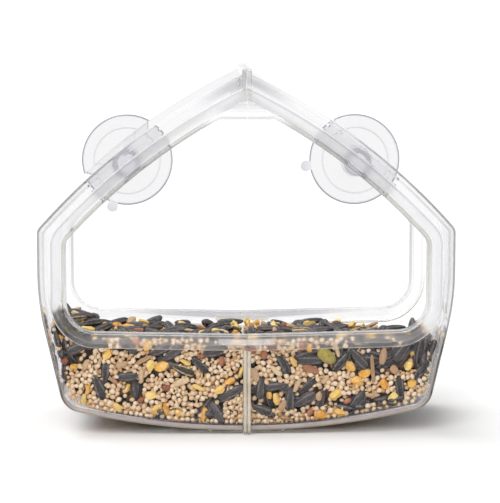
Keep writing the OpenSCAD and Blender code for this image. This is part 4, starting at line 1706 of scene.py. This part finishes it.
            # Small grains that come close to the floor rest on it
            small = np.array([len(SHAPES[kind].discs) == 1 for kind in kinds])[pick]
            radius = np.array([SHAPES[kind].discs[0][1] for kind in kinds])[pick] * size
            room = s.wall_t + self.clear + 0.01 + radius
            rest = s.floor_c[1] - np.sqrt((s.floor_r - room) ** 2 - a ** 2)
            b = np.where(small & (b < rest + 1.2), rest, b)
        always, never = layer.grain
        luck = (self.grainy(wall, a, b) - always) / (never - always) < rng.uniform(0.0, 1.0, tries)
        extra = rng.uniform(0.0, self.stray, tries)
        for i in np.flatnonzero(luck):
            kind = kinds[pick[i]]
            look = SHAPES[kind]
            place, r = np.array(look.discs).T * size[i]
            da, db = a[i] + place * np.cos(angle[i]), b[i] + place * np.sin(angle[i])
            if not self.inside(wall, da, db, r):
                continue
            if not wall.end and abs(a[i]) < np.max(np.abs(da - a[i]) + r) + 0.15:
                continue
            apart = np.hypot(laid.discs[:, :1] - da, laid.discs[:, 1:2] - db)
            if (apart < layer.loose * (laid.discs[:, 2:] + r)).any():
                continue
            laid.discs = np.concatenate([laid.discs, np.stack([da, db, r], axis=1)])
            depth = layer.depth + self.clear + extra[i] + look.thick * size[i] / 2
            laid.seeds[kind].append((a[i], b[i], depth, angle[i], size[i]))

    def fill_wall(self, wall: Wall) -> Laid:
        """Lays one wall: its layers side by side, then those that show in the gaps.

        Args:
            wall: The wall.

        Returns:
            What lies there.
        """
        laid = Laid()
        if wall is Wall.FRONT:
            (a, b, turn), look = self.green, SHAPES[Seed.GREEN]
            place, r = np.array(look.discs).T
            laid.discs = np.stack([a + place * np.cos(turn), b + place * np.sin(turn), r], axis=1)
            laid.seeds[Seed.GREEN].append((a, b, self.clear + look.thick / 2, turn, 1.0))
        under = Laid(seeds=laid.seeds)
        for layer in LAYERS[wall]:
            self.lay(wall, under if layer.under else laid, layer)
        return laid

    def sown(self, kind: Seed, wall: Wall, rows: Array) -> tuple[Array, Array]:
        """Points of all the seeds of one kind on one wall.

        Each seed's length is turned by its angle in the wall, tipped a little at chance, and its flat side
        faces the wall, so a point is place + sum of the seed's own axes times its scaled coordinates. Broken
        bits are stretched and skewed, each in its own way.

        Args:
            kind: The kind of seed.
            wall: The wall.
            rows: Place, depth, angle and size of each seed.

        Returns:
            Points, seeds by points by 3, and the seeds' places.
        """
        a, b, depth, angle, size = rows.T
        spots, first, second, normal = self.placed(wall, a, b, depth)
        tip = self.rng.normal(0.0, 0.22 if wall is Wall.TOP else 0.12, (2, len(rows), 1))
        roll = self.rng.uniform(0.0, 2 * np.pi, (len(rows), 1)) if SHAPES[kind].length < 6.5 else tip[1]
        along = unit(first * np.cos(angle)[:, None] + second * np.sin(angle)[:, None] + normal * tip[0])
        wide = unit(np.cross(normal, along))
        flat = np.cross(along, wide)
        wide, flat = wide * np.cos(roll) + flat * np.sin(roll), flat * np.cos(roll) - wide * np.sin(roll)
        uneven = SHAPES[kind].uneven
        stretch = self.rng.uniform(1.0 - uneven, 1.0 + 0.4 * uneven, (len(rows), 3, 1))
        skew = self.rng.uniform(-uneven, uneven, (len(rows), 1))
        axes = np.stack([along, wide + skew * along, flat], axis=1) * size[:, None, None] * stretch
        points = np.einsum("pk,skc->spc", SHAPES[kind].surface().points, axes)
        return points + spots[:, None, :], spots

    def core_surface(self) -> Surface:
        """Core of the right half: the tray's inner outline moved in, carried along the depth."""
        s = self.shape
        inset = s.wall_t + self.core_side
        r = max(s.corner_r - inset, 1.0)
        arc = s.corner_c + r * turned(np.linspace(s.floor_deg, -s.side_lean, 7))
        base = s.floor_c + (s.floor_r - inset) * turned(np.linspace(-89.9, s.floor_deg, 7))[:-1]
        high = self.top_z - self.core_drop
        side_x = s.lean_p[0] - inset / s.lean_n[0] - (s.lean_p[1] - high) * np.tan(np.radians(s.side_lean))
        loop = np.concatenate([base, arc, [[side_x, high], [0.3, high]]])
        y = np.linspace(self.front_y + self.core_in, self.back_y - self.core_in, 12)
        ends = 1.0 - 0.06 * (np.abs(np.linspace(-1, 1, 12)) > 0.95)
        middle = loop.mean(axis=0)
        ring = middle + (loop - middle) * ends[:, None, None]
        ring[..., 0] = np.maximum(ring[..., 0], 0.3)
        grid = np.stack([ring[..., 0], np.broadcast_to(y[:, None], ring.shape[:2]), ring[..., 1]], axis=-1)
        return tube(grid)

    def build(self) -> list[Object]:
        """Lays every wall and makes one piece for each kind of seed and half, and a core for each half.

        Returns:
            The pieces.
        """
        heaps = {wall: self.fill_wall(wall) for wall in Wall}
        pieces = []
        for side in Side:
            shape = self.core_surface()
            core = add_piece(
                f"{side.value}_heap_core", shape if side is Side.RIGHT else shape.mirrored(), self.core,
                side.body, 30.0,
            )
            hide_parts(f"{side.value}_seed_bed")
            pieces.append(core)
        for kind in Seed:
            rows = {wall: np.array(heap.seeds[kind]) for wall, heap in heaps.items() if heap.seeds[kind]}
            sown = [self.sown(kind, wall, row) for wall, row in rows.items()]
            points = np.concatenate([p for p, _ in sown])
            spots = np.concatenate([c for _, c in sown])
            base = SHAPES[kind].surface()
            for side in Side:
                mine = points[spots[:, 0] * side.sign > 0]
                if len(mine):
                    pieces.append(self.sow(kind, side, base, mine))
        return pieces

    def sow(self, kind: Seed, side: Side, base: Surface, points: Array) -> Object:
        """Makes the piece of one kind of seed in one half.

        Args:
            kind: The kind of seed.
            side: The half.
            base: One seed's surface.
            points: Points of all its seeds, seeds by points by 3.

        Returns:
            The piece.
        """
        count, per, _ = points.shape
        faces = [[i + start for i in f] for start in range(0, count * per, per) for f in base.faces]
        tone = np.repeat(self.rng.uniform(0.0, 1.0, count), per)
        values = {"tone": tone, "grain": np.tile(base.values["grain"], (count, 1))}
        shape = Surface(points.reshape(-1, 3), faces, values)
        look = SHAPES[kind]
        name = f"{side.value}_{kind.value}"
        piece = add_piece(name, shape, self.finishes[kind], side.body, look.sharp)
        node = {Seed.SUNFLOWER: "sunflower_seeds", Seed.CORN: "corn_pieces"}.get(kind)
        if node:
            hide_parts(f"{side.value}_{node}")
        return piece


@dataclass
class Studio:
    """Pale floor, soft light from all round and from two broad lamps, and the camera at the photo's place."""

    target: tuple[float, float, float] = (2.3, -5.3, 69.0)
    distance: float = 908.4
    azimuth: float = -1.919
    elevation: float = 6.854
    lens: float = 159.1
    sensor: float = 36.0
    # Size of the floor in metres, its stretches and how far it lies under the feet
    floor_size: float = 40.0
    floor_steps: int = 8
    floor_drop: float = 0.0002
    sky: float = 0.5
    zenith: float = 0.35
    key: float = 1.2
    fill: float = 1.72

    def camera(self) -> Object:
        """Puts the camera on its bearing from the target and turns it to look there."""
        a, e = np.radians([self.azimuth, self.elevation])
        way = np.array([np.sin(a) * np.cos(e), -np.cos(a) * np.cos(e), np.sin(e)])
        data = bpy.data.cameras.new("camera")
        data.lens, data.sensor_width, data.clip_start = self.lens, self.sensor, 0.01
        eye = bpy.data.objects.new("camera", data)
        eye.location = (np.array(self.target) + self.distance * way) * MM
        eye.rotation_euler = (np.pi / 2 - e, 0.0, a)
        bpy.context.scene.collection.objects.link(eye)
        bpy.context.scene.camera = eye
        return eye

    def floor(self, groups: Groups) -> Object:
        """Lays the floor: a plain sheet on an even grid of points."""
        n = self.floor_steps
        edge = np.linspace(-self.floor_size / 2, self.floor_size / 2, n + 1)
        x, y = np.meshgrid(edge, edge, indexing="ij")
        points = np.stack([x.ravel(), y.ravel(), np.full(x.size, -self.floor_drop)], axis=1)
        i, j = np.meshgrid(np.arange(n), np.arange(n), indexing="ij")
        k = i * (n + 1) + j
        faces = np.stack([k, k + n + 1, k + n + 2, k + 1], axis=-1).reshape(-1, 4)
        mesh = bpy.data.meshes.new("floor")
        mesh.from_pydata(points.tolist(), [], faces.tolist())
        mesh.materials.append(FloorFinish("pale floor").make(groups))
        sheet = bpy.data.objects.new("floor", mesh)
        bpy.context.scene.collection.objects.link(sheet)
        return sheet

    def world(self) -> None:
        """Sky that is white to the eye and to glass, and lights everything else evenly."""
        world = bpy.data.worlds.new("studio")
        world.use_nodes = True
        world.node_tree.nodes.clear()
        g = Graph(world.node_tree)
        path = g.add("ShaderNodeLightPath")
        clear = g.math("MAXIMUM", path.outputs["Is Glossy Ray"], path.outputs["Is Transmission Ray"])
        seen = g.math("MAXIMUM", path.outputs["Is Camera Ray"], clear)
        way = g.add("ShaderNodeSeparateXYZ", {0: g.add("ShaderNodeTexCoord").outputs["Generated"]})
        up = way.outputs["Z"]
        dusk = g.ranged(up, 0.0, 0.4, 0.0, self.sky)
        dim = g.math("MULTIPLY", g.ranged(up, 0.35, 0.8, 0.0, self.zenith), clear)
        light, white = (
            g.add("ShaderNodeBackground", {"Color": (1.0, 1.0, 1.0, 1.0), "Strength": strength}).outputs[0]
            for strength in (dusk, g.math("SUBTRACT", 1.0, dim))
        )
        mixed = g.add("ShaderNodeMixShader", {0: seen, 1: light, 2: white})
        g.add("ShaderNodeOutputWorld", {"Surface": mixed.outputs[0]})
        bpy.context.scene.world = world

    def lamp(self, name: str, power: float, wide: float, tilt: float, bearing: float) -> Object:
        """Hangs a broad soft lamp, so far off that it lights the whole floor alike.

        Args:
            name: Name of the lamp.
            power: Light that falls on a sheet facing it.
            wide: Angle in degrees that the lamp covers.
            tilt: Degrees from straight above.
            bearing: Degrees round from the front, towards the right.

        Returns:
            The lamp.
        """
        data = bpy.data.lights.new(name, "SUN")
        data.energy, data.angle = power, np.radians(wide)
        lamp = bpy.data.objects.new(name, data)
        lamp.rotation_euler = np.radians((tilt, 0.0, bearing))
        bpy.context.scene.collection.objects.link(lamp)
        return lamp

    def build(self, groups: Groups) -> None:
        """Sets up the whole studio."""
        self.camera()
        self.floor(groups)
        self.world()
        self.lamp("key lamp", self.key, 30.0, 26.0, -130.0)
        self.lamp("fill lamp", self.fill, 40.0, 46.0, -20.0)
        bpy.context.scene.view_settings.view_transform = "Standard"


def main() -> None:
    """Builds the studio, the shell, the cups and the seed in turn."""
    logging.basicConfig(level=logging.INFO, format="%(name)s: %(message)s")
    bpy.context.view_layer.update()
    groups = Groups(haze_group(), flow_group(), seed_group())
    Studio().build(groups)
    plastic = ClearFinish("clear plastic", "f7f7f8", 1.2, 0.0, 0.02, 0.004).make(groups)
    vinyl = ClearFinish("clear vinyl", "eeeef1", 1.28, 0.02, 0.06, 0.01).make(groups)
    shell = ShellFinishes(
        clear=plastic,
        milky=MilkyFinish("milky edge", "fbeed6", "fffaee", 0.2, sheer=0.5).make(groups),
        pale=MilkyFinish("pale edge", "f2f1ec", "ffffff", 0.66, sheer=0.15).make(groups),
        hazy=MilkyFinish("hazy edge", "c4b9b9", "dad0ce", 0.3, "b2a994").make(groups),
        sheer=MilkyFinish("sheer edge", "f4f3ee", "ffffff", 0.5, sheer=0.65).make(groups),
        dense=MilkyFinish("dense edge", "f6efd8", "ffffff", 0.2).make(groups),
    )
    for side in Side:
        ShellHalf(side, shell).build()
    SuctionCup(Side.LEFT, vinyl, 252.0).build()
    SuctionCup(Side.RIGHT, vinyl, 188.0).build()
    finishes = {
        Seed.SUNFLOWER: SeedFinish("black husk", "232122", "4f494a", "716967", 0.5, 0.5, "9a918e", 5.0, 0.6),
        Seed.STRIPED: SeedFinish("striped husk", "33291f", "5c4a3c", "8a7660", 0.3, 0.5, "d9c9aa", 5.0, 0.95),
        Seed.MILLET: SeedFinish("millet grain", "ebc497", "ffebcf", "d6aa7a", 0.2, 0.45),
        Seed.CORN: SeedFinish("corn grain", "eca020", "ffdf80", "fff2cc", 0.6, 0.4),
        Seed.MILO: SeedFinish("milo grain", "8f4b30", "c98560", "e0b892", 0.35, 0.45),
        Seed.CHIP: SeedFinish("hulled chip", "a86f50", "ecd2a6", "8a5a40", 0.4, 0.55),
        Seed.CRUMB: SeedFinish("crumb", "d09a5c", "ffe8b8", "b98850", 0.3, 0.55),
        Seed.STICK: SeedFinish("dry straw", "a8845e", "d8bd92", "8a6a4a", 0.4, 0.6),
        Seed.GREEN: SeedFinish("green seed", "8e7c3c", "bcab58", "6e5836", 0.7, 0.55),
    }
    core = CoreFinish("heap core", "2c2624", "8a6a42", "b8925e").make(groups)
    SeedFill({kind: finish.make(groups) for kind, finish in finishes.items()}, core).build()


if __name__ == "__main__":
    main()
